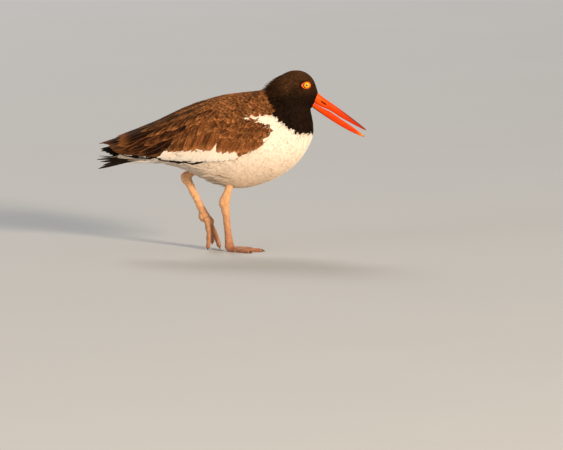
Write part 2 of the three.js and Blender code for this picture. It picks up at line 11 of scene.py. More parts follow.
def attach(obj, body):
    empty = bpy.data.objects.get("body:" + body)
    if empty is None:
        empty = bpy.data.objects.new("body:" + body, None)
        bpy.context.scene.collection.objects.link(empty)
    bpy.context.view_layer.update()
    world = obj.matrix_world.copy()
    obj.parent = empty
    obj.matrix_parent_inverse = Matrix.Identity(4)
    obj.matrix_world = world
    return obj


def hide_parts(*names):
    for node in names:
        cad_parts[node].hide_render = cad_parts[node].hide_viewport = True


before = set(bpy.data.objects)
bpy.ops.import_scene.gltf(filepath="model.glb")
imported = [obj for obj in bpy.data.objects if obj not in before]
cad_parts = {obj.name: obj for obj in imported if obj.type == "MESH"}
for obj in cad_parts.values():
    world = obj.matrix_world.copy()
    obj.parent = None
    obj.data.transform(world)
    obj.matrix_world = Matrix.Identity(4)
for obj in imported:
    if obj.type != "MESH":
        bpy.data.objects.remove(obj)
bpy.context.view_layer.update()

MM = 0.001  # shapes below are in millimetres, with +X ahead, +Y to the bird's left and the floor at z = 0
rng = np.random.default_rng(41)
ROUNDNESS = 2.15
RIGHT = -1
LEFT = 1
SIDES = {"right": RIGHT, "left": LEFT}

# Stations of the trunk, neck and head: back x and z, belly x and z, half width, height of the widest level.
BODY = np.array([
    (-147, 145, -147, 129, 14, 0.5),
    (-105, 166, -105, 126.5, 29, 0.5),
    (-66, 192, -66, 116, 39, 0.52),
    (-27, 212.6, -25, 97.5, 44.6, 0.55),
    (12, 223.2, 13, 90, 47.5, 0.56),
    (36, 226.6, 54.7, 100.5, 45.5, 0.54),
    (46, 228, 90, 123, 39.5, 0.5),
    (51.5, 230.5, 111.5, 154.8, 32.5, 0.48),
    (58, 238.5, 115, 176, 26.5, 0.48),
    (69, 248, 112, 197, 22.5, 0.52),
    (86, 255.5, 111.8, 202, 21.5, 0.56),
    (103, 254, 112.8, 203.4, 20, 0.54),
    (115.5, 243.5, 113.6, 204, 15.5, 0.5),
    (122.6, 224.5, 114.3, 204.3, 6.6, 0.5),
])
# The folded wings bulge over the trunk. Station i here goes with station i - WING_LEAD of the trunk.
WING = np.array([
    (-188, 153, -188, 149.5, 4, 0.5),
    (-170, 159, -168, 139, 14, 0.4),
    (-147, 167.6, -147, 133, 24, 0.4),
    (-105, 184.2, -105, 126, 36.5, 0.44),
    (-66, 202.8, -66, 116, 44.5, 0.5),
    (-27, 216.6, -25, 97.5, 49, 0.55),
    (12, 225.6, 13, 90, 50.6, 0.56),
    (36, 228, 54.7, 100.5, 48.5, 0.54),
    (46, 229, 90, 123, 42.5, 0.5),
])
WING_LEAD = 2
WING_BEND_X = 59
WING_MIDLINE = 0.4
# Edges seen from the side, as x and z with x rising.
WING_UPPER = np.array([(-44, 240), (-20, 216), (0, 204), (18, 194), (34.9, 190), (48.6, 186), (60, 178)])
WING_LOWER = np.array([(-188, 151), (-170, 143), (-153, 137), (-120, 134), (-97, 132.5), (-75, 129.5),
                       (-20, 129.5), (10, 138), (35, 148), (52, 160), (60, 175)])
MANTLE_BLEND = (28, -16)  # from the first x to the second, the back's own surface turns into the wings'
BROWN_LOWER = np.array([(-100, 142), (-75, 147), (-49, 149), (-33, 146.4), (-3, 142.9), (8, 141.5),
                        (21.4, 144.9), (34.9, 150.4), (45.9, 158.6), (55.4, 166.8), (60.1, 175.1)])
BROWN_FRONT = np.array([(18.6, 190.3), (34.9, 188.6), (48.6, 184.6), (55.4, 179), (60.1, 175.1)])
MANTLE_LOWER = np.array([(18.6, 190.8), (28.1, 192.8), (40.5, 195.5), (60.3, 196.2)])
# The rear edge of the dark hood, as z and x with z rising.
HOOD_EDGE = np.array([(170.5, 114), (172.2, 93.4), (184.6, 75.7), (196.9, 60.8), (209.2, 59.4), (229, 49)])

EYE = np.array((106.4, 237.3))
EYE_RADIUS = 5.3
EYE_SUNK = 3.4
IRIS_RADIUS = 4.45
PUPIL_RADIUS = 1.5
LID_WIDE, LID_HIGH, LID_CORNER = 6.2, 5.15, 1.3
LID_INNER = (4.6, 4.4)

UPPER_BILL = np.array([
    (122.6, 224.5, 116.8, 211.1, 6.3, 0.42),
    (131.3, 217.6, 125.6, 205.6, 5.4, 0.42),
    (143, 209.4, 138.8, 200.2, 4.2, 0.4),
    (158.9, 197.9, 155.2, 189.8, 3.1, 0.4),
    (174, 186.4, 171.5, 180.7, 2.2, 0.45),
    (186, 176.9, 184.4, 174, 1.5, 0.5),
    (191.2, 172.4, 190.6, 171.2, 0.8, 0.5),
])
LOWER_BILL = np.array([
    (116.6, 210.6, 114.4, 204.4, 6, 0.55),
    (126.2, 204.6, 123.6, 197.8, 5, 0.6),
    (140.3, 197.6, 137.2, 188.6, 4, 0.6),
    (155.4, 187.2, 152.6, 178.8, 3.1, 0.6),
    (170.4, 177.2, 168.6, 170, 2.3, 0.55),
    (182.3, 168.4, 181, 164.4, 1.5, 0.5),
    (188.6, 163.4, 188, 161.8, 0.8, 0.5),
])
NOSTRIL = np.array([(127.6, 212.4), (133.4, 208.6)])

LEGS = {
    "right": {"y": -14.5, "thigh": [(12, 122), (-2, 95.5)], "heel": (-9.8, 71.5), "foot": (-3.2, 8.2)},
    "left": {"y": 15.5, "thigh": [(-34, 130), (-56.5, 109.5)], "heel": (-64.8, 103.6),
             "foot": (-37.6, 47.2)},
}
FLAT_TOES = {"inner": (33, 26), "middle": (44, -7), "outer": (36, -41)}  # length, turn from straight ahead
LIFTED_TOES = {
    "inner": ((-33.4, 7.5, 4.6), 2.2),
    "middle": ((-17.6, 18.5, 4.8), 1.8),
    "outer": ((-27.5, 31.5, 9.5), 2.6),
}
TOE_HALF = 3.7
TOE_ROOT_SWELL = 1.5
TOE_JOINTS = (0.36, 0.68)
CLAW_LONG = 6.5
# Half sizes down the leg: fore and aft, then across.
THIGH_HALVES = ([15, 12, 8.4, 4.4], [11, 9.4, 7, 3.6])
SHANK_HALVES = ([4.9, 4.7, 5.2, 6.6, 6.2], [3.7, 3.6, 4.0, 4.9, 4.6])
SHANK_MARKS = [0, 0.35, 0.6, 0.85, 1]
SHIN_MARKS = [0, 0.07, 0.16, 0.34, 0.62, 0.86, 0.95, 1]
SHIN_HALVES = ([6.2, 6.4, 5.4, 4.7, 4.5, 4.9, 5.6, 5.8], [4.8, 4.8, 4.0, 3.4, 3.3, 3.7, 4.4, 4.8])
LEG_TINT = np.array((0.80, 0.44, 0.215))
# the legs' colour at the floor, darkened by painted shade
FOOT_SHADE_TINT = np.array((0.38, 0.15, 0.074))

# Colours along each half of the bill, from its root to its tip.
BILL_MARKS = (0, 0.3, 0.75, 0.93, 1)
BILL = {
    "bill_upper": (UPPER_BILL, (
        (0.88, 0.105, 0.001), (0.86, 0.066, 0.001), (0.66, 0.030, 0.002), (0.44, 0.05, 0.008),
        (0.30, 0.11, 0.03))),
    "bill_lower": (LOWER_BILL, (
        (0.88, 0.085, 0.001), (0.88, 0.055, 0.001), (0.82, 0.048, 0.001), (0.84, 0.27, 0.008),
        (0.20, 0.10, 0.02))),
}
# painted shade on the top of the bill, darkest towards the tip
CULMEN_SHADE = np.array((0.045, 0.010, 0.006))
CULMEN_SHADE_MARKS = ([0.34, 0.6, 0.85, 1], [0, 0.7, 1, 0.9])  # how dark the top is, from the root to the tip
HOOD = np.array((0.0125, 0.0050, 0.0022))
# painted highlights: the pale flecks on the black hood feathers
HOOD_HIGHLIGHT = np.array((0.075, 0.034, 0.014))
MANTLE = np.array((0.095, 0.031, 0.0090))
MANTLE_PALE = np.array((0.38, 0.16, 0.058))
BROWN = np.array((0.125, 0.040, 0.0115))
BROWN_PALE = np.array((0.46, 0.185, 0.063))
WHITE = np.array((0.89, 0.78, 0.68))
WHITE_PALE = np.array((0.95, 0.87, 0.79))
TERTIAL = np.array((0.026, 0.0085, 0.0026))
TERTIAL_PALE = np.array((0.27, 0.10, 0.034))
# painted shade: the white is darker and tan under the belly, where less light falls
BELLY_SHADE = np.array((0.64, 0.53, 0.43))  # the white turns tan under the belly
BLACK = np.array((0.014, 0.009, 0.007))
BLACK_PALE = np.array((0.12, 0.05, 0.022))
IRIS_TONES = ((1.0, 0.50, 0.002, 1), (1.0, 0.74, 0.02, 1))
IRIS_INSIDE = (1.0, 0.38, 0.002, 1)
IRIS_RIM = (0.55, 0.08, 0.002, 1)
PUPIL = (0.002, 0.002, 0.002, 1)
LID_TONES = ((0.86, 0.07, 0.003, 1), (1.0, 0.19, 0.007, 1))
CLAW_TONES = ((0.025, 0.014, 0.009, 1), (0.14, 0.075, 0.04, 1))

# The studio, in metres: each lamp's place, size, power in watts and colour.
LAMPS = {
    "key": ((5.8, -7.6, 3.0), 2.0, 1150, (1.0, 0.78, 0.52)),
    "fill": ((-7.0, -6.0, 3.2), 4.0, 110, (1.0, 0.95, 0.88)),
    "back": ((-2.5, 8.5, 6.5), 4.0, 330, (1.0, 0.95, 0.88)),
}
LAMPS_AIM = Vector((0, 0, 0.13))
SKY = (1.0, 0.95, 0.88, 1)
SKY_STRENGTH = 0.34
FLOOR_HALF = 30
FLOOR_TONES = ((0.57, 0.60, 0.65, 1), (0.60, 0.635, 0.685, 1))
PHOTO_WIDE = 563  # pixels
MM_PER_PIXEL = 1.42
CAMERA_AIM = Vector((0.071, 0, 0.0363))
CAMERA_ELEVATION = math.radians(6)
LENS = 600
SENSOR = 36

TURN = 2 * math.pi


class Socket:
    """A shader value that takes part in sums. Each sum adds its Math node."""

    def __init__(self, finish, link):
        self.finish = finish
        self.link = link

    def math(self, operation, *values):
        return self.finish.node("ShaderNodeMath", {"operation": operation}, dict(enumerate(values)))

    def __add__(self, other):
        return self.math("ADD", self, other)

    def __sub__(self, other):
        return self.math("SUBTRACT", self, other)

    def __rsub__(self, other):
        return self.math("SUBTRACT", other, self)

    def __mul__(self, other):
        return self.math("MULTIPLY", self, other)

    __radd__ = __add__
    __rmul__ = __mul__

    def size(self):
        return self.math("ABSOLUTE", self)

    def wave(self):
        return self.math("SINE", self)

    def step(self, low, high):
        inputs = {"Value": self, "From Min": low, "From Max": high}
        return self.finish.node("ShaderNodeMapRange", {"interpolation_type": "SMOOTHSTEP"}, inputs)


class Finish:
    """One procedural material."""

    def __init__(self, name, **constants):
        self.material = bpy.data.materials.new(name)
        self.material.use_nodes = True
        self.tree = self.material.node_tree
        self.shader = self.tree.nodes["Principled BSDF"]
        self.set(**constants)

    def set(self, **values):
        for name, value in values.items():
            self.feed(self.shader.inputs[name.replace("_", " ")], value)

    def feed(self, socket, value):
        if isinstance(value, Socket):
            self.tree.links.new(value.link, socket)
        else:
            socket.default_value = value

    def node(self, kind, settings=None, inputs=None, out=0):
        made = self.tree.nodes.new(kind)
        for name, value in (settings or {}).items():
            setattr(made, name, value)
        for key, value in (inputs or {}).items():
            self.feed(made.inputs[key], value)
        return Socket(self, made.outputs[out])

    def place(self):
        return self.node("ShaderNodeTexCoord", out="Object")

    def noise(self, scale, detail=3):
        inputs = {"Vector": self.place(), "Scale": scale, "Detail": detail}
        return self.node("ShaderNodeTexNoise", None, inputs, "Fac")

    def streaks(self, across, along, detail):
        """Noise on a flat sheet, drawn out by the scales of the two values."""
        sheet = self.node("ShaderNodeCombineXYZ", None, {0: across, 1: along})
        inputs = {"Vector": sheet, "Scale": 1.0, "Detail": detail}
        return self.node("ShaderNodeTexNoise", {"noise_dimensions": "2D"}, inputs, "Fac")

    def cells(self, scale):
        """How far each place is from the lines of a net of small cells."""
        inputs = {"Vector": self.place(), "Scale": scale}
        return self.node("ShaderNodeTexVoronoi", {"feature": "DISTANCE_TO_EDGE"}, inputs, "Distance")

    def colour(self, name):
        return self.node("ShaderNodeAttribute", {"attribute_name": name}, out="Color")

    def across_and_along(self):
        vane = self.node("ShaderNodeUVMap", {"uv_map": "vane"})
        return (self.node("ShaderNodeSeparateXYZ", None, {0: vane}, axis) for axis in ("X", "Y"))

    def mix(self, share, a, b, blend="MIX"):
        settings = {"data_type": "RGBA", "blend_type": blend}
        return self.node("ShaderNodeMix", settings, {0: share, 6: a, 7: b}, 2)

    def shaded(self, colour, shade, red=None, green=None):
        """The colour times a shade. Its red and green may have shades of their own."""
        channels = {0: red or shade, 1: green or shade, 2: shade}
        return self.mix(1, colour, self.node("ShaderNodeCombineColor", None, channels), "MULTIPLY")

    def bump(self, height, strength, distance):
        inputs = {"Height": height, "Strength": strength, "Distance": distance}
        self.set(Normal=self.node("ShaderNodeBump", None, inputs))


def feather_finish(name, barbs, roughness, rim_start, sheen, depth):
    """Vanes: a pale rim and tip, a shaft down the middle, and slanting barbs as strong as depth says."""
    finish = Finish(name, Specular_IOR_Level=0.06, Sheen_Weight=sheen, Sheen_Roughness=0.5)
    across, along = finish.across_and_along()
    out = (across * 2 - 1).size()
    mottle = finish.noise(900, 4)
    rim_share = (out.step(rim_start, 1.0) + along.step(rim_start, 1.0)).step(0.0, 1.2)
    base = finish.mix(rim_share, finish.colour("tint"), finish.colour("rim"))
    strands = ((along * barbs - out * (barbs * 0.16) + mottle * 1.5) * TURN).wave() * 0.5 + 0.5
    shaft = 1 - out.step(0.03, 0.09)
    shade = strands * (0.26 * depth) + mottle * (0.5 * depth) + (1 - 0.38 * depth)
    base = finish.mix(shaft * (0.35 * depth), finish.shaded(base, shade), finish.colour("rim"))
    finish.set(Base_Color=base, Roughness=mottle * 0.2 + roughness)
    finish.bump(strands * 0.5 + shaft * 1.2, 0.5 * depth, 0.00025)
    return finish.material


def skin_finish():
    finish = Finish("feathered_skin", Specular_IOR_Level=0.1)
    nap = finish.noise(1400, 5)
    finish.set(Base_Color=finish.shaded(finish.colour("tint"), nap * 0.3 + 0.8))
    finish.set(Roughness=nap * 0.2 + 0.7)
    finish.bump(nap, 0.6, 0.0006)
    return finish.material


def horn_finish():
    """The bill: smooth, with long fine streaks and small chips."""
    finish = Finish("bill_horn", Coat_Roughness=0.3, Specular_IOR_Level=0.08)
    across, along = finish.across_and_along()
    streaks = finish.streaks(across * 60, along * 7, 4)
    blotch = finish.noise(260, 4)
    shade = streaks * 0.22 + blotch * 0.3 + 0.74
    finish.set(Base_Color=finish.shaded(finish.colour("tint"), shade, green=shade * 0.97 + 0.02))
    finish.set(Roughness=blotch * 0.2 + streaks * 0.16 + 0.28, Coat_Weight=0.05)
    finish.bump(streaks * 0.6 + blotch * 0.4, 0.25, 0.0003)
    return finish.material


def leg_finish():
    """Scaled skin: small net-like scales with darker lines between them."""
    finish = Finish("leg_skin", Subsurface_Weight=0.15, Subsurface_Scale=0.0025, Coat_Roughness=0.4)
    finish.set(Subsurface_Radius=(1.0, 0.35, 0.15))
    scales = finish.cells(620)
    fine = finish.cells(1500)
    blotch = finish.noise(240, 4)
    lines = 1 - scales.step(0.0, 0.12)
    fine_lines = 1 - fine.step(0.0, 0.1)
    shade = 1.05 - lines * 0.24 - fine_lines * 0.08 + (blotch - 0.5) * 1.1
    finish.set(Base_Color=finish.shaded(finish.colour("tint"), shade, red=shade * 0.6 + 0.4))
    finish.set(Roughness=lines * 0.2 + blotch * 0.2 + 0.34, Coat_Weight=0.15)
    finish.bump(scales.step(0.0, 0.2) + fine.step(0.0, 0.2) * 0.3, 0.5, 0.0004)
    return finish.material


def claw_finish():
    finish = Finish("claw_horn", Coat_Roughness=0.2, Coat_Weight=0.3)
    grain = finish.noise(900, 4)
    finish.set(Base_Color=finish.mix(grain.step(0.35, 0.75), *CLAW_TONES), Roughness=grain * 0.3 + 0.2)
    finish.bump(grain, 0.2, 0.0002)
    return finish.material


def lid_finish():
    finish = Finish("eyelid_skin", Subsurface_Weight=0.15, Subsurface_Scale=0.001)
    finish.set(Subsurface_Radius=(1.0, 0.2, 0.05))
    across, along = finish.across_and_along()
    beads = ((across * (TURN * 34)).wave() * 0.5 + 0.5) * ((along * (TURN * 3)).wave() * 0.5 + 0.5)
    blotch = finish.noise(1500, 3)
    colour = finish.mix(beads * 0.45 + blotch * 0.4, *LID_TONES)
    finish.set(Base_Color=colour, Roughness=blotch * 0.3 + 0.25)
    finish.bump(beads + blotch * 0.5, 0.5, 0.0003)
    return finish.material


def eye_finish():
    """Yellow iris with fine spokes round a black pupil, under a wet surface."""
    finish = Finish("eye", Coat_Weight=1.0, Coat_Roughness=0.02)
    around, out = finish.across_and_along()  # round the eye, and out from its middle
    distance = out * (EYE_RADIUS * 2)
    spokes = finish.streaks(around * 70, distance * 0.7, 5)
    iris = finish.mix(spokes.step(0.3, 0.7), *IRIS_TONES)
    inside = 1 - distance.step(PUPIL_RADIUS, PUPIL_RADIUS + 1.5)
    iris = finish.mix(inside * 0.6, iris, IRIS_INSIDE)
    iris = finish.mix(distance.step(IRIS_RADIUS - 0.7, IRIS_RADIUS), iris, IRIS_RIM)
    iris = finish.mix(1 - distance.step(PUPIL_RADIUS - 0.12, PUPIL_RADIUS + 0.1), iris, PUPIL)
    finish.set(Base_Color=iris, Roughness=spokes * 0.1 + 0.05)
    return finish.material


def floor_finish():
    finish = Finish("studio_floor")
    grain = finish.noise(3, 2)
    finish.set(Base_Color=finish.mix(grain, *FLOOR_TONES), Roughness=grain * 0.1 + 0.7)
    return finish.material


def curve(values, t):
    """A smooth curve through equally spaced values, read at t."""
    t = np.asarray(t, float)
    ends = np.concatenate([[2 * values[0] - values[1]], values, [2 * values[-1] - values[-2]]])
    i = np.clip(np.floor(t).astype(int), 0, len(values) - 2)
    f = (t - i)[..., None]
    a, b, c, d = (ends[i + k] for k in range(4))
    return b + 0.5 * f * (c - a + f * (2 * a - 5 * b + 4 * c - d + f * (3 * (b - c) + d - a)))


def bend(v):
    return np.sign(v) * np.abs(v) ** (2 / ROUNDNESS)


def on_stations(stations, t, angle, grow=0.0):
    """A point of a stationed shape. The angle runs from the top, and to the left where it is positive."""
    row = curve(stations, t)
    back, belly, half, wide = row[..., 0:2], row[..., 2:4], row[..., 4], row[..., 5, None]
    axis = back - belly
    axis = axis / np.linalg.norm(axis, axis=-1, keepdims=True) * np.asarray(grow, float)[..., None]
    back, belly = back + axis, belly - axis
    middle = belly + (back - belly) * wide
    rise = bend(np.cos(angle))[..., None]
    xz = middle + np.where(rise > 0, back - middle, middle - belly) * rise
    y = (half + grow) * bend(np.sin(angle))
    return np.stack([xz[..., 0], y, xz[..., 1]], axis=-1)


def edge(points, x):
    return np.interp(x, points[:, 0], points[:, 1])


def dressed(t, angle, grow=0.0):
    """The bird's outer surface: the trunk, and the wings' bulge over it."""
    trunk = on_stations(BODY, t, angle, grow)
    over = on_stations(WING, np.minimum(t + WING_LEAD, len(WING) - 1), angle, grow)
    x, z = over[..., 0], over[..., 2]
    below = np.clip((z - edge(WING_LOWER, x)) / 5 + 0.3, 0, 1)
    ahead = np.clip((WING_BEND_X - x) / 5 + 0.3, 0, 1)
    above = np.clip((edge(WING_UPPER, x) - z) / 5 + 0.3, 0, 1)
    mantle = np.clip((MANTLE_BLEND[0] - x) / (MANTLE_BLEND[0] - MANTLE_BLEND[1]), 0, 1)
    share = below * ahead * np.maximum(above, mantle * mantle * (3 - 2 * mantle))
    share = share[..., None] * (np.asarray(t)[..., None] < len(WING) - 1 - WING_LEAD)
    return trunk + (over - trunk) * share


def unit(v):
    return v / np.maximum(np.linalg.norm(v, axis=-1, keepdims=True), 1e-9)


def surface_frame(shape, t, angle):
    """The point, normal, and the steps along and round the surface for a unit of t and of angle."""
    e = 0.015
    along = (shape(t + e, angle) - shape(t - e, angle)) / (2 * e)
    around = (shape(t, angle + e) - shape(t, angle - e)) / (2 * e)
    return shape(t, angle), unit(np.cross(along, around)), along, around


class Batch:
    """Closed lofts that are written as one mesh."""

    def __init__(self):
        self.count = 0
        self.parts = {"place": [], "tint": [], "rim": [], "vane": [], "bake": []}
        self.faces = []

    def add(self, rings, tint, rim=None, bake=None, around=False):
        """Adds n lofts of r rings of c points, with one colour each or one for each point."""
        n, r, c, _ = rings.shape
        quads = [(i * c + k, i * c + (k + 1) % c) for i in range(r - 1) for k in range(c)]
        faces = [(a, b, b + c) for a, b in quads] + [(a, b + c, a + c) for a, b in quads]
        last = (r - 1) * c
        faces += [(last, last + k, last + k + 1) for k in range(1, c - 1)]
        faces += [(0, k + 1, k) for k in range(1, c - 1)]
        faces = np.array(faces)
        first = rings[0].reshape(-1, 3)
        p, q, s = (first[faces[:, k]] for k in range(3))
        if np.einsum("ij,ij->", p - first.mean(0), np.cross(q - p, s - p)) < 0:
            faces = faces[:, ::-1]
        self.faces.append((faces[None] + (self.count + np.arange(n) * r * c)[:, None, None]).reshape(-1, 3))
        u = np.linspace(0, 1, c, endpoint=not around)
        vane = np.stack(np.broadcast_arrays(u[None, :], np.linspace(0, 1, r)[:, None]), axis=-1)
        vane = np.broadcast_to(vane, (n, r, c, 2))
        self.parts["place"].append(rings.reshape(-1, 3) * MM)
        self.parts["vane"].append(vane.reshape(-1, 2))
        self.parts["bake"].append((vane if bake is None else bake(vane)).reshape(-1, 2))
        rim = tint if rim is None else rim
        for name, colour in (("tint", tint), ("rim", rim)):
            colour = np.asarray(colour, float)
            shape = (n, 1, 1, 3) if colour.ndim == 2 else colour.shape
            full = np.broadcast_to(colour.reshape(shape) if colour.ndim > 1 else colour, (n, r, c, 3))
            self.parts[name].append(np.clip(full.reshape(-1, 3), 0, 1))
        self.count += n * r * c

    def build(self, name, material, slot, replaces=(), sharp=50):
        faces = np.concatenate(self.faces)
        got = {key: np.concatenate(value) for key, value in self.parts.items()}
        mesh = mesh_of(name, got["place"], faces)
        for key in ("tint", "rim"):
            paint(mesh, key, got[key])
        unwrap(mesh, faces, {"OFBake": got["bake"], "vane": got["vane"]})
        mesh.set_sharp_from_angle(angle=math.radians(sharp))
        return piece(name, mesh, material, replaces)


def mesh_of(name, places, faces):
    mesh = bpy.data.meshes.new(name)
    mesh.vertices.add(len(places))
    mesh.vertices.foreach_set("co", np.asarray(places, np.float32).ravel())
    mesh.loops.add(faces.size)
    mesh.loops.foreach_set("vertex_index", faces.ravel().astype(np.int32))
    mesh.polygons.add(len(faces))
    mesh.polygons.foreach_set("loop_start", np.arange(0, faces.size, 3, dtype=np.int32))
    mesh.polygons.foreach_set("use_smooth", np.ones(len(faces), bool))
    mesh.update(calc_edges=True)
    mesh.validate()
    return mesh


def paint(mesh, name, colours):
    """Stores a colour at each point."""
    layer = mesh.color_attributes.get(name) or mesh.color_attributes.new(name, "FLOAT_COLOR", "POINT")
    layer.data.foreach_set("color", np.insert(colours, 3, 1, axis=1).ravel())


def unwrap(mesh, faces, layers):
    for name, places in layers.items():
        mesh.uv_layers.new(name=name).data.foreach_set("uv", places[faces.ravel()].ravel())


def read_points(mesh, what):
    values = np.empty(len(mesh.vertices) * 3)
    mesh.vertices.foreach_get(what, values)
    return values.reshape(-1, 3)


def in_scene(name, data):
    obj = bpy.data.objects.new(name, data)
    bpy.context.scene.collection.objects.link(obj)
    return obj


def modified(obj):
    """The object's mesh as its modifiers leave it."""
    return bpy.data.meshes.new_from_object(obj.evaluated_get(bpy.context.evaluated_depsgraph_get()))


def piece(name, mesh, material, replaces=()):
    obj = in_scene(name, mesh)
    mesh.materials.append(material)
    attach(obj, "root")
    if replaces:
        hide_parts(*replaces)
    return obj


def is_brown(x, z):
    """Where the back and the folded wing are brown, seen from the side."""
    wing = (z > edge(BROWN_LOWER, x)) & (z < edge(BROWN_FRONT, x)) & (x < WING_BEND_X)
    behind = (z > edge(BROWN_LOWER, x)) & (x < BROWN_FRONT[0, 0])
    return wing | behind | is_mantle(x, z)


def is_mantle(x, z):
    return (z > edge(MANTLE_LOWER, x)) & (x >= BROWN_FRONT[0, 0])


def is_hood(x, z):
    return (z > HOOD_EDGE[0, 0]) & (x > np.interp(z, HOOD_EDGE[:, 0], HOOD_EDGE[:, 1]))


def painted_bend_shade(x, z):
    """Painted shade: the folded wing is darker along its front edge."""
    return 1 - 0.45 * np.exp(-((x - 34) / 26) ** 2 - ((z - 180) / 12) ** 2)


def plumage(places, ragged=0.8):
    """The colour of the coat and its paler edge at each place, with painted light and highlights on the
    hood, and painted shade on the wing's front edge and under the belly.
    """
    drift = rng.normal(0, ragged, places.shape[:-1] + (2,))
    x, z = places[..., 0] + drift[..., 0], places[..., 2] + drift[..., 1]
    hood, brown = is_hood(x, z)[..., None], is_brown(x, z)[..., None]
    high = np.clip((z - 170) / 40, 0, 1)[..., None]
    # painted light: the hood is lighter on the crown and darker on the cheeks and throat
    crown_light = np.clip((z - 219) / 22, 0, 1)[..., None]
    hood_tint = HOOD * (0.55 + 1.5 * crown_light)
    # painted highlights on the hood's feathers, strongest on the crown
    hood_highlight = HOOD_HIGHLIGHT * (0.2 + 0.9 * crown_light)
    brown_tint = BROWN * (1 - high) + MANTLE * high
    brown_rim = BROWN_PALE * (1 - high) + MANTLE_PALE * high
    # painted shade along the folded wing's front edge
    brown_tint, brown_rim = (colour * painted_bend_shade(x, z)[..., None] for colour in (brown_tint, brown_rim))
    # painted shade: the white darkens and turns tan low on the belly, and warmer towards the rear
    low = np.clip((z - 92) / 62, 0, 1)[..., None]
    rear = np.clip((10 - x) / 60, 0, 1)[..., None] * (1 - low) * 0.5
    white_tint = WHITE * (BELLY_SHADE * (1 - low) + low) * (1 - rear * np.array((0.0, 0.06, 0.14)))
    tint = np.where(hood, hood_tint, np.where(brown, brown_tint, white_tint))
    rim = np.where(hood, hood_highlight, np.where(brown, brown_rim, WHITE_PALE * (BELLY_SHADE * (1 - low) + low)))
    return tint, rim


def skin_depth(t):
    return np.interp(t, [0, 6, 8.5, 10, 13], [2.4, 2.2, 1.6, 0.9, 0.5])


def build_skin():
    """One closed skin from the tail's root to the bill, under the coat, joined with the thighs."""
    rows, around = 230, 112
    t = np.linspace(0, len(BODY) - 1, rows)[:, None] * np.ones(around)
    angle = np.linspace(-math.pi, math.pi, around, endpoint=False) * np.ones((rows, 1))
    body = Batch()
    body.add(dressed(t, angle, -skin_depth(t))[None], WHITE, around=True)
    nodes = ["torso", "neck", "head", "thigh_right", "thigh_left"]
    skin = body.build("skin", skin_finish(), "white_feathers", nodes)
    for leg in LEGS.values():
        thigh = Batch()
        rings = tube_rings(leg_line(leg["y"], *leg["thigh"], 8), thigh_halves(8), sides=24)
        thigh.add(rings[None], WHITE, around=True)
        places, faces = np.concatenate(thigh.parts["place"]), np.concatenate(thigh.faces)
        form = in_scene("thigh_form", mesh_of("thigh_form", places, faces))
        union = skin.modifiers.new("thigh", "BOOLEAN")
        union.operation, union.solver, union.object = "UNION", "EXACT", form
        whole = modified(skin)
        skin.modifiers.clear()
        skin.data = whole
        bpy.data.objects.remove(form)
    tint, _ = plumage(read_points(skin.data, "co") / MM, ragged=0)
    paint(skin.data, "tint", tint)


def leg_line(y, start, end, steps):
    v = np.linspace(0, 1, steps + 1)[:, None]
    path = np.array(start) * (1 - v) + np.array(end) * v
    return np.insert(path, 1, y, axis=1)


def thigh_halves(steps):
    v = np.linspace(0, 1, steps + 1)
    return np.stack([np.interp(v, [0, 1 / 3, 2 / 3, 1], halves) for halves in THIGH_HALVES], axis=1)


def tube_rings(path, halves, across=(0, 1, 0), sides=16):
    """Rings of a tube along a path. Each half size is in the path's plane, then across it."""
    ahead = unit(np.gradient(path, axis=0))
    across = np.broadcast_to(np.array(across, float), path.shape)
    side = unit(across - ahead * np.sum(across * ahead, axis=1, keepdims=True))
    up = np.cross(ahead, side)
    angle = np.linspace(0, TURN, sides, endpoint=False)[None, :, None]
    halves = np.asarray(halves, float)
    return (path[:, None] + up[:, None] * np.cos(angle) * halves[:, None, :1]
            + side[:, None] * np.sin(angle) * halves[:, None, 1:])


SHAFT_RIDGE = 0.08


def vane_rings(spine, normal, halves, columns, camber, ridge):
    """Cross sections of feathers: an arched top with a shaft ridge, closed by a flat underside."""
    ahead = unit(np.gradient(spine, axis=1))
    across = unit(np.cross(ahead, normal))
    up = unit(np.cross(across, ahead))
    c = np.linspace(-1, 1, columns)[None, None, :, None]
    lift = halves[..., None, None] * camber * (1 - c * c) + ridge * (np.abs(c) < 0.1)
    return spine[:, :, None] + across[:, :, None] * halves[..., None, None] * c + up[:, :, None] * lift


def blade(rows, full_at, tip_from, tip_power, root=0.5):
    """A feather's half width along its length, as a share of its widest."""
    v = np.linspace(0, 1, rows)
    swell = root + (1 - root) * np.sin(np.clip(v / full_at, 0, 1) * math.pi / 2)
    tip = np.clip((v - tip_from) / (1 - tip_from), 0, 1)
    return swell * np.maximum((1 - tip ** tip_power) ** (1 / tip_power), 0.06)


def lay_feathers(t, angle, long, wide, lift, rows, columns, drift, profile, sink=1.6, camber=0.25):
    """Feathers that follow the surface from their roots towards the tail, drifting round it."""
    spine, normals = [], []
    t, angle = t.copy(), angle.copy()
    for v in np.linspace(0, 1, rows):
        point, normal, along, around = surface_frame(dressed, t, angle)
        height = -sink + (sink + lift) * v ** 0.8
        spine.append(point + normal * height[..., None])
        normals.append(normal)
        advance = long / (rows - 1)
        t = np.maximum(t - np.minimum(advance / np.linalg.norm(along, axis=-1), 0.6), -1.5)
        angle = angle + drift * advance / np.maximum(np.linalg.norm(around, axis=-1), 4)
    spine, normals = np.stack(spine, 1), np.stack(normals, 1)
    return vane_rings(spine, normals, wide[:, None] / 2 * profile[None], columns, camber, SHAFT_RIDGE)


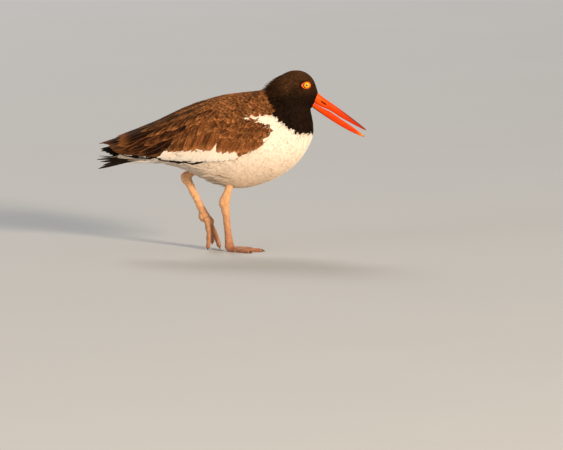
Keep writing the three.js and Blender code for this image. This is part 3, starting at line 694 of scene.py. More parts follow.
def scatter(spacing, amount):
    """Even random places on the surface as t and angle. spacing gives the distance wanted at each place."""
    rows, around = 400, 200
    t = (np.arange(rows) + 0.5) / rows * (len(BODY) - 1)
    angle = (np.arange(around) + 0.5) / around * TURN - math.pi
    tt, aa = np.meshgrid(t, angle, indexing="ij")
    _, _, along, round_ = surface_frame(dressed, tt, aa)
    area = np.linalg.norm(np.cross(along, round_), axis=-1)
    weight = (area / spacing(tt, dressed(tt, aa)) ** 2).ravel()
    pick = rng.choice(rows * around, amount, p=weight / weight.sum())
    t = tt.ravel()[pick] + rng.uniform(-0.5, 0.5, amount) * (len(BODY) - 1) / rows
    angle = aa.ravel()[pick] + rng.uniform(-0.5, 0.5, amount) * TURN / around
    places = dressed(t, angle)
    apart = spacing(t, places)
    tree = kdtree.KDTree(amount)
    for i, place in enumerate(places):
        tree.insert(place, i)
    tree.balance()
    alive = np.ones(amount, bool)
    for i in range(amount):
        if alive[i]:
            for _, k, _ in tree.find_range(places[i], apart[i]):
                alive[k] = k == i
    return t[alive], angle[alive]


def bake_patch(t, angle):
    """Puts each tuft in a small square at its root's place on the unrolled skin."""
    size = 0.003
    place = np.stack([(angle / TURN + 0.5) % 1, np.clip(t / (len(BODY) - 1), 0, 1)], axis=-1)
    corner = place * (1 - size)
    return lambda vane: corner[:, None, None] + vane * size


def clear_of_eye(rings):
    off = rings[..., [0, 2]] - EYE
    ring = np.hypot((off[..., 0] + 0.4) / (LID_WIDE + 0.2), off[..., 1] / (LID_HIGH - 0.3))
    return ring.reshape(len(rings), -1).min(axis=1) > 1


def coat_size(t):
    """Length and width of the small feathers, from the tail's root to the bill."""
    long = np.interp(t, [0, 5, 7, 9, 10.5, 12, 13], [17, 15, 11, 7.5, 5.5, 3.6, 2.2])
    wide = np.interp(t, [0, 5, 7, 9, 10.5, 12, 13], [9.5, 9, 6, 3.6, 2.6, 1.8, 1.2])
    return long, wide


# The small feathers by region: wisps for each feather, how far the tips stand up, how arched a feather is,
# how far it leans round the body from straight back, and how much its shade varies.
REGIONS = {
    "hood": {"look": "soft", "wisps": 6, "lift": 1.2, "camber": 0.3, "lean": 0.2, "vary": 0.45},
    "back": {"look": "crisp", "wisps": 9, "lift": 0.9, "camber": 0.14, "lean": 0.5, "vary": 0.55},
    "white": {"look": "downy", "wisps": 7, "lift": 0.5, "camber": 0.1, "lean": 0.15, "vary": 0.06},
}
COAT_TRIES = 120000
COAT_APART = 0.42  # the distance between feathers, as a share of their width
VANES_BEHIND = -62  # behind this x the wing has no small feathers, only its rows of vanes
COVERTS_FRONT = 36  # between that and this x it has few of them, below this share of its height
COVERTS_BELOW = 0.42
MOST_TRIANGLES = 190000  # in one piece of the coat
FEATHER_TRIANGLES = 56
WISP_TRIANGLES = 14
WISP_PROFILE = np.array([0.8, 1, 0.1])


def drifted(t, angle, way, distance):
    """The place that lies a distance further down the feathers' flow."""
    _, _, along, around = surface_frame(dressed, t, angle)
    t = t - np.minimum(distance / np.maximum(np.linalg.norm(along, axis=-1), 3), 0.7)
    angle = angle + way * distance / np.maximum(np.linalg.norm(around, axis=-1), 4)
    return np.clip(t, -1, len(BODY) - 1.01), angle


def flow(places, angle, lean):
    """How far the feathers lean downwards: most on the wing's coverts, and little on the back."""
    x, z = places[:, 0], places[:, 2]
    on_wing = (x < WING_BEND_X) & (z < edge(WING_UPPER, x)) & (z > edge(WING_LOWER, x) + 6) & (x > -80)
    low = np.clip((205 - z) / 50, 0, 1)
    return np.sign(angle) * np.where(on_wing, 0.15 + lean * 1.3 * low, 0.12 + 0.3 * lean * low)


def patches(places):
    """Slow changes of shade from place to place, from -1 to 1, alike on the skin, the coat and the vanes."""
    total = 0
    x, y, z = (places[..., k] for k in range(3))
    for wave, turn, start in ((0.21, 0.4, 0.0), (0.33, 1.9, 1.3), (0.13, 2.7, 4.1), (0.47, 1.1, 2.2)):
        across = (x * math.cos(turn) + z * math.sin(turn)) * wave
        total = total + np.sin(across + 1.7 * np.sin(z * wave * 0.7 + start) + y * 0.05 + start)
    return total / 3


def build_coat(materials):
    """The small feathers of the whole body, sorted into pieces by region, and loose barbs over them."""
    t, angle = scatter(lambda t, places: coat_size(t)[1] * COAT_APART, COAT_TRIES)
    places = dressed(t, angle)
    x, z = places[:, 0], places[:, 2]
    lower, upper = edge(WING_LOWER, x), edge(WING_UPPER, x)
    coverts = (x < COVERTS_FRONT) & ((upper - z) / (upper - lower) > COVERTS_BELOW)
    thinned = rng.random(len(x)) < np.where(x > 8, 0.25, 0.75)
    covered = (z > lower + 1) & ((x < VANES_BEHIND) | coverts & thinned)
    t, angle, places = t[~covered], angle[~covered], places[~covered]
    long, _ = coat_size(t)
    shown = dressed(*drifted(t, angle, flow(places, angle, 0.5), long * 0.6))
    hood = is_hood(shown[:, 0], shown[:, 2])
    brown = is_brown(shown[:, 0], shown[:, 2]) & ~hood
    masks = {"hood": hood, "back": brown, "white": ~hood & ~brown}
    for name, region in REGIONS.items():
        lay_region(name, region, t[masks[name]], angle[masks[name]], shown[masks[name]], materials)


def lay_region(name, region, t, angle, shown, materials):
    """One region's feathers, and the loose barbs that soften them."""
    n = len(t)
    slot = f"{name}_feathers"
    long, wide = coat_size(t)
    long = long * rng.uniform(0.85, 1.15, n)
    wide = wide * rng.uniform(0.85, 1.15, n) * (0.72 if name == "back" else 1)
    rise = np.interp(t, [0, 7, 10, 13], [1.0, 0.9, 0.5, 0.2])
    nape = np.clip(1 - np.abs(t - 8.2) / 1.3, 0, 1) * np.clip(1.2 - np.abs(angle), 0, 1)
    lift = rise * region["lift"] * rng.uniform(0.6, 1.4, n)
    lean = flow(dressed(t, angle), angle, region["lean"]) + rng.normal(0, 0.08, n)
    sink = np.interp(t, [0, 9, 13], [2.2, 1.4, 0.5])
    rings = lay_feathers(t, angle, long, wide, lift, 6, 5, lean, blade(6, 0.5, 0.55, 2.2), sink,
                         region["camber"])
    keep = clear_of_eye(rings)
    tint, rim = plumage(shown)
    shade = rng.uniform(1 - region["vary"], 1 + region["vary"], (n, 1))
    # on the white, the patches are painted shade of soft feather clumps, strongest low on the belly
    belly = 0.14 * np.clip((130 - shown[:, 2]) / 30, 0, 1)
    mottle = belly if name == "white" else region["vary"] * 0.8
    shade = shade * (1 + (mottle * patches(shown))[:, None])
    tint, rim = tint * shade, rim * (0.35 + 0.65 * shade)
    write_tufts(f"coat_{name}", [part[keep] for part in (rings, tint, rim, t, angle)], FEATHER_TRIANGLES,
                materials[region["look"]], slot)
    t, angle, tint, rim, nape, lean, rise = (
        np.repeat(part, region["wisps"], axis=0) for part in (t, angle, tint, rim, nape, lean, rise))
    n = len(t)
    long, wide = coat_size(t)
    _, _, _, around = surface_frame(dressed, t, angle)
    angle = angle + rng.uniform(-0.6, 0.6, n) * wide / np.maximum(np.linalg.norm(around, axis=-1), 4)
    t, angle = drifted(t, angle, lean, rng.uniform(0.2, 1.0, n) * long)
    reach = long * rng.uniform(0.35, 0.75, n) * (1 + nape * 0.9)
    lift = (rise * (0.5 + 0.6 * region["lift"]) + nape * 5) * rng.uniform(0.3, 1.4, n)
    lean = lean + rng.normal(0, 0.22, n)
    rings = lay_feathers(t, angle, reach, wide * 0.04 + 0.09, lift, 3, 3, lean, WISP_PROFILE, 0.4, 0.6)
    keep = clear_of_eye(rings)
    blend = rng.uniform(0.0, 0.9, (n, 1))
    tint = tint * (1 - blend) + rim * blend
    write_tufts(f"wisps_{name}", [part[keep] for part in (rings, tint, rim, t, angle)], WISP_TRIANGLES,
                materials["wisp"], slot)


def build_flank_plumes(material):
    """Longer, looser white feathers that hang over the thighs and the belly's rear edge."""
    number = 170
    t = rng.uniform(1.0, 3.9, number)
    angle = rng.uniform(1.9, 3.1, number) * rng.choice([-1, 1], number)
    long = rng.uniform(14, 25, number)
    wide = rng.uniform(3.0, 6.0, number)
    lift = rng.uniform(0.8, 3.6, number)
    drift = rng.normal(0, 0.25, number)
    rings = lay_feathers(t, angle, long, wide, lift, 8, 5, drift, blade(8, 0.5, 0.5, 1.7))
    shade = rng.uniform(0.85, 1.05, (number, 1))
    tint, rim = plumage(dressed(t, angle))
    batch = Batch()
    batch.add(rings, tint * shade, rim * shade, bake_patch(t, angle))
    batch.build("flank_plumes", material, "white_feathers")


def write_tufts(name, tufts, triangles, material, slot):
    """Writes tufts, given as rings, tints, rims, t and angles, in pieces of no more than MOST_TRIANGLES."""
    number = len(tufts[0])
    for i, share in enumerate(np.array_split(np.arange(number), 1 + number * triangles // MOST_TRIANGLES)):
        rings, tint, rim, t, angle = (part[share] for part in tufts)
        batch = Batch()
        batch.add(rings, tint, rim, bake_patch(t, angle))
        batch.build(f"{name}_{i + 1}", material, slot)


def wing_grid():
    """Places on the folded wing, on a grid of x and of the share from its upper to its lower edge."""
    xs = np.linspace(-188, WING_BEND_X - 0.5, 124)
    shares = np.linspace(0, 1, 25)
    x, share = np.meshgrid(xs, shares, indexing="ij")

    def find(low, high, too_low):
        low, high = np.full(x.shape, float(low)), np.full(x.shape, float(high))
        for _ in range(20):
            middle = (low + high) / 2
            up = too_low(middle)
            low, high = np.where(up, middle, low), np.where(up, high, middle)
        return low

    def angle_of(t, z):
        return find(0, math.pi, lambda angle: on_stations(WING, t, angle)[..., 2] > z)

    def angle_at(t):
        half = curve(WING, t)[..., 4]
        near_top = np.arcsin(np.minimum(1, (WING_MIDLINE / half) ** (ROUNDNESS / 2)))
        high = np.maximum(angle_of(t, edge(WING_UPPER, x)), near_top)
        low = np.maximum(high, angle_of(t, edge(WING_LOWER, x)))
        return high + (low - high) * share

    t = find(0, len(WING) - 1, lambda t: on_stations(WING, t, angle_at(t))[..., 0] < x)
    point, normal, _, _ = surface_frame(lambda a, b: on_stations(WING, a, b), t, angle_at(t))
    return xs, shares, point, normal


GRID = wing_grid()


def on_wing(x, share, side):
    """The wing's surface and normal, between the grid's places."""
    xs, shares, point, normal = GRID
    i = np.clip((x - xs[0]) / (xs[1] - xs[0]), 0, len(xs) - 1.001)
    j = np.clip(share / shares[1], 0, len(shares) - 1.001)
    i0, j0 = i.astype(int), j.astype(int)
    fi, fj = (i - i0)[..., None], (j - j0)[..., None]
    flip = np.array([1, side, 1])

    def read(table):
        near = table[i0, j0] * (1 - fj) + table[i0, j0 + 1] * fj
        far = table[i0 + 1, j0] * (1 - fj) + table[i0 + 1, j0 + 1] * fj
        return (near * (1 - fi) + far * fi) * flip

    beyond = np.maximum(xs[0] - x, 0)[..., None] * np.array([-1, 0, -0.1])
    return read(point) + beyond, unit(read(normal))


Tier = namedtuple("Tier", "name number roots tips wide lift tint rim tip")
# Rows of the folded wing, deepest first. roots and tips give the first and the last feather of a row, as x
# and as the share of the wing's height. tip says where a feather starts to narrow and how bluntly.
TIERS = [
    Tier("primary", 9, ((-100, 0.04), (-112, 0.6)), ((-188.5, 0.25), (-160, 0.98)), 10, 0.2,
         BLACK, BLACK_PALE, (0.6, 1.8)),
    Tier("secondary", 10, ((-30, 0.92), (-112, 0.74)), ((-62, 1.03), (-154, 1.0)), 10, 0.1,
         BLACK, BLACK, (0.7, 2.4)),
    Tier("white_secondary", 4, ((-96, 0.86), (-104, 0.72)), ((-130, 0.95), (-154, 0.9)), 7, 0.2,
         WHITE, WHITE_PALE, (0.6, 2.0)),
    Tier("greater_covert", 22, ((16, 0.80), (-76, 0.70)), ((0, 0.985), (-98, 0.96)), 14, 1.1,
         WHITE * 0.97, WHITE_PALE, (0.6, 2.0)),
    Tier("tertial", 8, ((-72, 0.2), (-56, 0.74)), ((-168, 0.84), (-106, 0.9)), 13.5, 0.8,
         TERTIAL, TERTIAL_PALE, (0.55, 1.7)),
    Tier("upper_tertial", 6, ((-84, 0.04), (-76, 0.3)), ((-160, 0.05), (-163, 0.56)), 12, 1.0,
         TERTIAL * 0.6, TERTIAL_PALE * 0.9, (0.5, 1.6)),
    Tier("median_covert", 27, ((46, 0.60), (-66, 0.52)), ((32, 0.94), (-88, 0.78)), 9.5, 1.2,
         BROWN, BROWN_PALE, (0.62, 2.2)),
    Tier("lesser_covert", 20, ((48, 0.42), (-60, 0.42)), ((32, 0.66), (-88, 0.68)), 7.5, 1.3,
         BROWN * 0.8, BROWN_PALE, (0.45, 1.7)),
    Tier("marginal_covert", 20, ((54, 0.24), (-40, 0.3)), ((40, 0.48), (-64, 0.52)), 7, 1.4,
         BROWN * 0.7, BROWN_PALE * 0.9, (0.45, 1.7)),
    Tier("rear_covert", 9, ((-44, 0.34), (-86, 0.44)), ((-86, 0.56), (-128, 0.6)), 11, 1.2,
         TERTIAL, TERTIAL_PALE, (0.5, 1.7)),
    Tier("low_scapular", 10, ((-14, 0.28), (-76, 0.26)), ((-52, 0.46), (-124, 0.46)), 9, 1.3,
         TERTIAL, BROWN_PALE, (0.45, 1.7)),
    Tier("middle_scapular", 10, ((-18, 0.16), (-80, 0.16)), ((-54, 0.26), (-128, 0.3)), 9, 1.4,
         TERTIAL, MANTLE_PALE * 0.85, (0.45, 1.7)),
    Tier("high_scapular", 10, ((-24, 0.05), (-84, 0.06)), ((-56, 0.1), (-130, 0.12)), 9, 1.4,
         TERTIAL * 0.8, MANTLE_PALE * 0.7, (0.45, 1.7)),
]
# The vanes of each look: what their piece is called, their material and their slot.
VANE_LOOKS = {
    "brown": ("brown_vanes", "vane", "back_feathers"),
    "white": ("white_vanes", "white_vane", "white_feathers"),
    "black": ("flight_feathers", "vane", "flight_feathers"),
}
VANE_SUNK = 2.2
FAR_TIP_DROP = 13  # how far the left wing's tip hangs under the right one's


def cell_bake(cell, cells):
    across = math.ceil(math.sqrt(cells))
    corner = np.array((cell % across, cell // across)) / across
    return lambda vane: corner + 0.02 / across + vane * 0.96 / across


def look_of(tier):
    return "white" if tier.tint[0] > 0.5 else "black" if tier.tint[0] < 0.02 else "brown"


def vane_strands(vane, normal, number, tint, rim):
    """Loose barbs on one vane, slanting from the shaft to its edge and a little past it."""
    rows, columns = vane.shape[:2]
    start = rng.uniform(0.2, 1.0, number)
    side = rng.choice([-1.0, 1.0], number)
    out = rng.uniform(0.1, 0.85, number)
    long = rng.uniform(0.07, 0.16, number)
    points = []
    for step in (0, 0.5, 1):
        row = np.clip((start + long * step) * (rows - 1), 0, rows - 1.3 + 0.5 * step)
        column = (columns - 1) / 2 * (1 + side * (out + 0.28 * step))
        i = np.clip(row.astype(int), 0, rows - 2)
        k = np.clip(column.astype(int), 0, columns - 2)
        past_row, past_column = (row - i)[:, None], (column - k)[:, None]
        near = vane[i, k] * (1 - past_column) + vane[i, k + 1] * past_column
        far = vane[i + 1, k] * (1 - past_column) + vane[i + 1, k + 1] * past_column
        points.append(near * (1 - past_row) + far * past_row + normal[i] * (0.1 + 0.35 * step))
    nearest = np.clip((start * (rows - 1)).astype(int), 0, rows - 1)
    normals = np.repeat(normal[nearest][:, None], 3, axis=1)
    halves = rng.uniform(0.1, 0.24, number)[:, None] * WISP_PROFILE
    share = rng.uniform(0, 0.75, (number, 1))
    return vane_rings(np.stack(points, axis=1), normals, halves, 3, 0.5, 0), tint * (1 - share) + rim * share


def tier_vanes(batch, strands, tier, side, cell, cells):
    """One row of the wing's feathers, each with its loose barbs."""
    rows, columns = 14, 7
    v = np.linspace(0, 1, rows)
    look = look_of(tier)
    for i in range(tier.number):
        share = i / (tier.number - 1)
        root, tip = (np.array(a) * (1 - share) + np.array(b) * share for a, b in (tier.roots, tier.tips))
        jitter = rng.normal(0, 1, 4)
        tip = tip + (1.5 * jitter[1], 0.008 * jitter[2])
        x = root[0] + jitter[0] + (tip[0] - root[0]) * v
        point, normal = on_wing(x, root[1] + (tip[1] - root[1]) * v, side)
        lift = tier.lift + 0.25 * jitter[3]
        wide = tier.wide * rng.uniform(0.85, 1.15)
        spine = point + normal * (-VANE_SUNK + (VANE_SUNK + lift) * v ** 0.5)[:, None]
        if tier.name == "primary" and side == LEFT:
            spine[:, 2] -= FAR_TIP_DROP * v * v
        halves = wide / 2 * blade(rows, 0.45, *tier.tip)
        rings = vane_rings(spine[None], normal[None], halves[None], columns, 0.16, 0.18)
        if look == "white":
            shade = rng.uniform(0.96, 1.03)
        else:
            # painted shade along the folded wing's front edge
            shade = rng.uniform(0.45, 1.6) * painted_bend_shade(point[-1, 0], point[-1, 2])
        tint, rim = tier.tint * shade, tier.rim * (0.5 + 0.5 * shade)
        batch.add(rings, tint, rim, cell_bake(cell + i, cells))
        strands.append(vane_strands(rings[0], normal, 4 if look == "black" else 40, tint, rim))
    return cell + tier.number


def build_wings(materials):
    for name, side in SIDES.items():
        cells = sum(tier.number for tier in TIERS)
        rows = {look: (Batch(), []) for look in VANE_LOOKS}
        cell = 0
        for tier in TIERS:
            cell = tier_vanes(*rows[look_of(tier)], tier, side, cell, cells)
        for look, (part, material, slot) in VANE_LOOKS.items():
            batch, strands = rows[look]
            nodes = [f"wing_{name}"] if look == "brown" else []
            batch.build(f"wing_{name}_{part}", materials[material], slot, nodes)
            rings, colours = (np.concatenate(parts) for parts in zip(*strands))
            barbs = Batch()
            barbs.add(rings, colours, colours, cell_patches(len(rings)))
            barbs.build(f"wing_{name}_{look}_barbs", materials["wisp"], slot)
        build_wing_bed(name, side)


def build_wing_bed(name, side):
    """The thin fold of wing under its vanes, which closes the roof behind the trunk, painted dark brown as
    shade under the vanes.
    """
    x, share = np.meshgrid(np.linspace(-92, -166, 40), np.linspace(0.0, 1, 13), indexing="ij")
    point, normal = on_wing(x, share, side)
    deep = point - normal * VANE_SUNK
    rings = np.concatenate([point - normal, deep[:, ::-1]], axis=1)
    batch = Batch()
    # painted shade: dark brown under the vanes
    batch.add(rings[None], BROWN * 0.4, around=True)
    batch.build(f"wing_{name}_bed", bpy.data.materials["feathered_skin"], "back_feathers")


def vane_on(x, y, z, normal_y, normal_z, halves, columns, camber, ridge):
    """One vane along a line that is given by its x, y and z."""
    spine = np.stack(np.broadcast_arrays(x, y, z), axis=1)
    normal = np.stack(np.broadcast_arrays(0 * x, normal_y, normal_z), axis=1)
    return vane_rings(spine[None], normal[None], halves[None], columns, camber, ridge)


TAIL_FEATHERS = 12
TAIL_NOTCHES = (0, 9, 4)  # how far the tips fall short of the longest, in turn
CROSSED_PRIMARIES = 5
TAIL_COVERTS = 34
# The level of the coverts over and under the tail's root, as x and z.
UPPER_COVERTS = ([-160, -146, -120, -96], [133, 142, 154, 168])
UNDER_COVERTS = ([-160, -146, -120, -96], [128.5, 125.8, 125.4, 125.4])


def build_tail(materials):
    """Twelve tail feathers, the wingtips crossed over them, and white coverts round their roots."""
    rows = 14
    v = np.linspace(0, 1, rows)
    feathers, crossed, coverts = Batch(), Batch(), Batch()
    for i in range(TAIL_FEATHERS):
        out = 2 * i / (TAIL_FEATHERS - 1) - 1
        x = -126 + (-64.5 + 2 * out * out + TAIL_NOTCHES[i % 3] + rng.normal(0, 0.6)) * v
        y = out * (11 + 13 * v)
        z = 132.8 + 2.2 * v - 13 * out * out * v ** 1.6 - 3 * abs(out)
        lean = np.arctan2(-21 * out * v ** 1.6, 24)
        rings = vane_on(x, y, z, -np.sin(lean), np.cos(lean), 5.2 * blade(rows, 0.5, 0.42, 1.5), 7, 0.1, 0.2)
        feathers.add(rings, BLACK * rng.uniform(0.7, 1.2), BLACK * 2.5, cell_bake(i, TAIL_FEATHERS))
    for i in range(CROSSED_PRIMARIES):
        x = -118 + (-68 + 4 * i) * v
        z = 147 - 1.2 * i - (2.5 + 1.5 * i) * v * v
        rings = vane_on(x, 2 + 1.6 * i, z, -0.75, 0.66, 4.6 * blade(rows, 0.5, 0.6, 1.7), 7, 0.1, 0.2)
        crossed.add(rings, BLACK * rng.uniform(0.7, 1.2), BLACK * 2.5, cell_bake(i, CROSSED_PRIMARIES))
    crossed.build("crossed_primaries", materials["vane"], "flight_feathers")
    for under in (True, False):
        sign = -1 if under else 1
        for i in range(TAIL_COVERTS):
            out = rng.uniform(-1, 1)
            back = i / (TAIL_COVERTS - 1)
            x = -96 - 30 * back - rng.uniform(24, 30) * v
            y = out * (17 - 4 * back - 2 * v)
            level = np.interp(x, *(UNDER_COVERTS if under else UPPER_COVERTS))
            z = level + 2.6 * out * out * (1 if under else -2.4) + sign * (0.6 * v - 1.2 * (1 - v))
            halves = rng.uniform(4, 5) * blade(rows, 0.5, 0.6, 2)
            rings = vane_on(x, y, z, math.sin(out * 0.5), sign * math.cos(out * 0.5), halves, 5, 0.2, 0.05)
            cell = i + TAIL_COVERTS * under
            coverts.add(rings, WHITE * rng.uniform(0.85, 1), WHITE_PALE, cell_bake(cell, 2 * TAIL_COVERTS))
    feathers.build("tail_feathers", materials["vane"], "flight_feathers", ["tail"])
    coverts.build("tail_coverts", materials["white_vane"], "white_feathers")


def build_bill():
    """The upper and lower halves of the bill, with the nostril pressed into the upper one."""
    horn = horn_finish()
    rows, around = 320, 64
    for name, (stations, tones) in BILL.items():
        t = np.linspace(0, len(stations) - 1, rows)[:, None] * np.ones(around)
        angle = np.linspace(-math.pi, math.pi, around, endpoint=False) * np.ones((rows, 1))
        rings = on_stations(stations, t, angle)
        share = t / (len(stations) - 1)
        tint = np.stack([np.interp(share, BILL_MARKS, channel) for channel in zip(*tones)], axis=-1)
        if name == "bill_upper":
            tint = mark_upper_bill(rings, tint, angle, share)
        batch = Batch()
        batch.add(rings[None], tint[None], around=True)
        batch.build(f"{name}_horn", horn, "bill", [name])


def mark_upper_bill(rings, tint, angle, share):
    """Presses in the nostril and the groove ahead of it, paints shade into both, and paints shade on the
    top, darkest towards the tip.
    """
    step = NOSTRIL[1] - NOSTRIL[0]
    off = rings[..., [0, 2]] - NOSTRIL[0]
    along = off @ step / (step @ step)
    from_slit = np.linalg.norm(off - np.clip(along, 0, 1)[..., None] * step, axis=-1)
    dent = np.exp(-(from_slit / 0.75) ** 2)
    from_groove = off - np.clip(along, -0.5, 5)[..., None] * step
    groove = np.exp(-(from_groove ** 2).sum(-1) / 1.4) * np.clip(1.2 - share * 1.6, 0, 1)
    rings[..., 1] *= 1 - 0.42 * dent - 0.07 * groove
    # painted shade in the nostril and the groove, as in hollows
    tint = tint * (1 - 0.97 * dent[..., None] ** 0.7) * (1 - 0.2 * groove[..., None])
    # painted shade on the bill's top, growing towards the tip
    top = np.clip((np.cos(angle) + 0.45) / 1.2, 0, 1) ** 1.4 * np.interp(share, *CULMEN_SHADE_MARKS)
    culmen_shade = 0.93 * top[..., None]
    return tint * (1 - culmen_shade) + CULMEN_SHADE * culmen_shade


def eye_place(side):
    """Where the eye sits on the head, and the head's outward direction there."""
    t, angle = np.meshgrid(np.linspace(9.5, 13, 180), np.linspace(0.4, 2.4, 180), indexing="ij")
    point, normal, _, _ = surface_frame(lambda a, b: on_stations(BODY, a, b), t, angle * side)
    best = np.argmin(np.linalg.norm(point[..., [0, 2]] - EYE, axis=-1))
    return point.reshape(-1, 3)[best], normal.reshape(-1, 3)[best]


def build_eyes():
    ball_look, lid_look = eye_finish(), lid_finish()
    for name, side in SIDES.items():
        skin, normal = eye_place(side)
        centre = skin - np.array((0, side * EYE_SUNK, 0))
        facing = unit(np.array((0.16, side, 0.02)))
        right = unit(np.cross(facing, (0, 0, 1)))
        up = np.cross(right, facing)
        rows, around = 40, 64
        polar = np.linspace(0.002, math.pi - 0.002, rows)[:, None]
        turn = np.linspace(0, TURN, around, endpoint=False)[None]
        radius = EYE_RADIUS * (1 + 0.05 * np.exp(-(polar / 0.55) ** 2))
        ahead, out = radius * np.cos(polar) + 0 * turn, radius * np.sin(polar)
        rings = (centre + ahead[..., None] * facing + (out * np.cos(turn))[..., None] * right
                 + (out * np.sin(turn))[..., None] * up)
        batch = Batch()
        batch.add(rings[None], WHITE, around=True)
        from_middle = np.where(polar < math.pi / 2, np.sin(polar) / 2, 1)
        vane = np.stack(np.broadcast_arrays(turn / TURN, from_middle), axis=-1)
        batch.parts["vane"][0] = vane.reshape(-1, 2)
        batch.build(f"eyeball_{name}", ball_look, "eye", [f"eye_{name}"])
        build_lids(name, side, skin, normal, lid_look)


def build_lids(name, side, skin, normal, look):
    """A fleshy ring round the eye, drawn out to a corner behind it."""
    around, section = 96, 14
    turn = np.linspace(0, TURN, around, endpoint=False)
    corner = LID_CORNER * np.maximum(0, -np.cos(turn)) ** 8
    outer = np.stack([(LID_WIDE + corner) * np.cos(turn), LID_HIGH * np.sin(turn)], 1)
    inner = np.array(LID_INNER) * np.stack([np.cos(turn), np.sin(turn)], 1)
    angle = np.linspace(0, TURN, section, endpoint=False)
    share = 0.5 - 0.5 * np.cos(angle)
    ring = inner[:, None] * (1 - share[None, :, None]) + outer[:, None] * share[None, :, None]
    thick = 1.0 * np.sin(angle) + 0.75 * (1 - share) + 0.15
    slope = (ring[..., 0] * normal[0] + ring[..., 1] * normal[2]) / normal[1]
    out = side * thick[None, :] - slope * (0.4 + 0.6 * share[None])
    rings = np.stack([EYE[0] + ring[..., 0], skin[1] + out, EYE[1] + ring[..., 1]], axis=-1)
    faces = []
    for i in range(around):
        for k in range(section):
            a, b = i * section + k, i * section + (k + 1) % section
            c, d = (i + 1) % around * section + k, (i + 1) % around * section + (k + 1) % section
            faces += [(a, b, c), (b, d, c)] if side == LEFT else [(b, a, c), (b, c, d)]
    faces = np.array(faces)
    mesh = mesh_of(f"lid_ring_{name}", rings.reshape(-1, 3) * MM, faces)
    vane = np.stack(np.meshgrid(turn / TURN, angle / TURN, indexing="ij"), axis=-1).reshape(-1, 2)
    unwrap(mesh, faces, {"OFBake": vane, "vane": vane})
    piece(f"lid_ring_{name}", mesh, look, [f"lids_{name}"])


def toe_half(v):
    swell = TOE_ROOT_SWELL * np.maximum(0, 1 - v / 0.4) ** 2
    return TOE_HALF * (1 - 0.3 * v) * (1 + 0.03 * np.cos(6 * math.pi * v)) + swell


def toe_path(leg, toe_name, lifted):
    v = np.linspace(0, 1, 25)
    x0, z0 = leg["foot"]
    if lifted:
        tip, bow = LIFTED_TOES[toe_name]
        side = {"inner": -4, "middle": 0, "outer": 4}[toe_name]
        start = np.array((x0 + 1.5, leg["y"] + side * 0.6, z0 - 2))
        path = start * (1 - v[:, None]) + np.array(tip) * v[:, None]
        path[:, 0] += bow * 4 * v * (1 - v)
        return path
    long, turn = FLAT_TOES[toe_name]
    turn = math.radians(turn)
    reach = 1 + long * v
    high = np.maximum(TOE_HALF * (1 - 0.34 * v) - 0.5, (z0 - 3) * (1 - v * 4))
    return np.stack([x0 + reach * math.cos(turn), leg["y"] + reach * math.sin(turn), high], axis=1)


def toe_across(path):
    along = path[-1] - path[0]
    upright = abs(along[2]) > math.hypot(along[0], along[1])
    return (0, 1, 0) if upright else unit(np.array((-along[1], along[0], 0)))


def merged(name, lofts, voxel, smooth):
    """Several closed lofts melted into one skin."""
    batch = Batch()
    for rings in lofts:
        batch.add(rings[None], WHITE, around=True)
    mesh = mesh_of(name, np.concatenate(batch.parts["place"]), np.concatenate(batch.faces))
    obj = in_scene(name, mesh)
    remesh = obj.modifiers.new("melt", "REMESH")
    remesh.mode, remesh.voxel_size, remesh.use_smooth_shade = "VOXEL", voxel * MM, True
    soften = obj.modifiers.new("soften", "SMOOTH")
    soften.factor, soften.iterations = 0.5, smooth
    mesh = modified(obj)
    bpy.data.objects.remove(obj)
    return mesh


def folds(places, fine):
    """Small uneven swellings of the skin, from -1 to 1."""
    x, y, z = (places[:, k] * fine for k in range(3))
    return (np.sin(0.9 * x + 1.3 * np.sin(0.5 * z + y)) + np.sin(0.62 * z + 1.7 * np.sin(0.7 * x + 0.6 * y))
            + np.sin(0.8 * y - 0.45 * z + 1.1 * np.sin(0.9 * x))) / 3


def knob(centre, radii, ahead=(0, 0, 1)):
    """A closed egg: its radii are along the leg's plane, across it, and ahead."""
    v = np.linspace(-0.995, 0.995, 13)
    path = np.array(centre) + unit(np.array(ahead, float)) * (v * radii[2])[:, None]
    round_ = np.sqrt(1 - v * v)[:, None]
    return tube_rings(path, round_ * np.array(radii[:2]))


def scutes(line, front, halves, every):
    """Low overlapping plates down the front of a leg or the top of a toe."""
    length = np.linalg.norm(line[-1] - line[0])
    for v in np.arange(every / 2, length, every) / length:
        at = v * (len(line) - 1)
        i = min(int(at), len(line) - 2)
        centre = line[i] + (line[i + 1] - line[i]) * (at - i)
        half = halves[i] + (halves[i + 1] - halves[i]) * (at - i)
        ahead = line[i + 1] - line[i]
        radii = (half[0] * 0.5, half[1] * 0.66, every * 0.62)
        yield knob(centre + np.array(front) * half[0] * 0.62, radii, ahead)


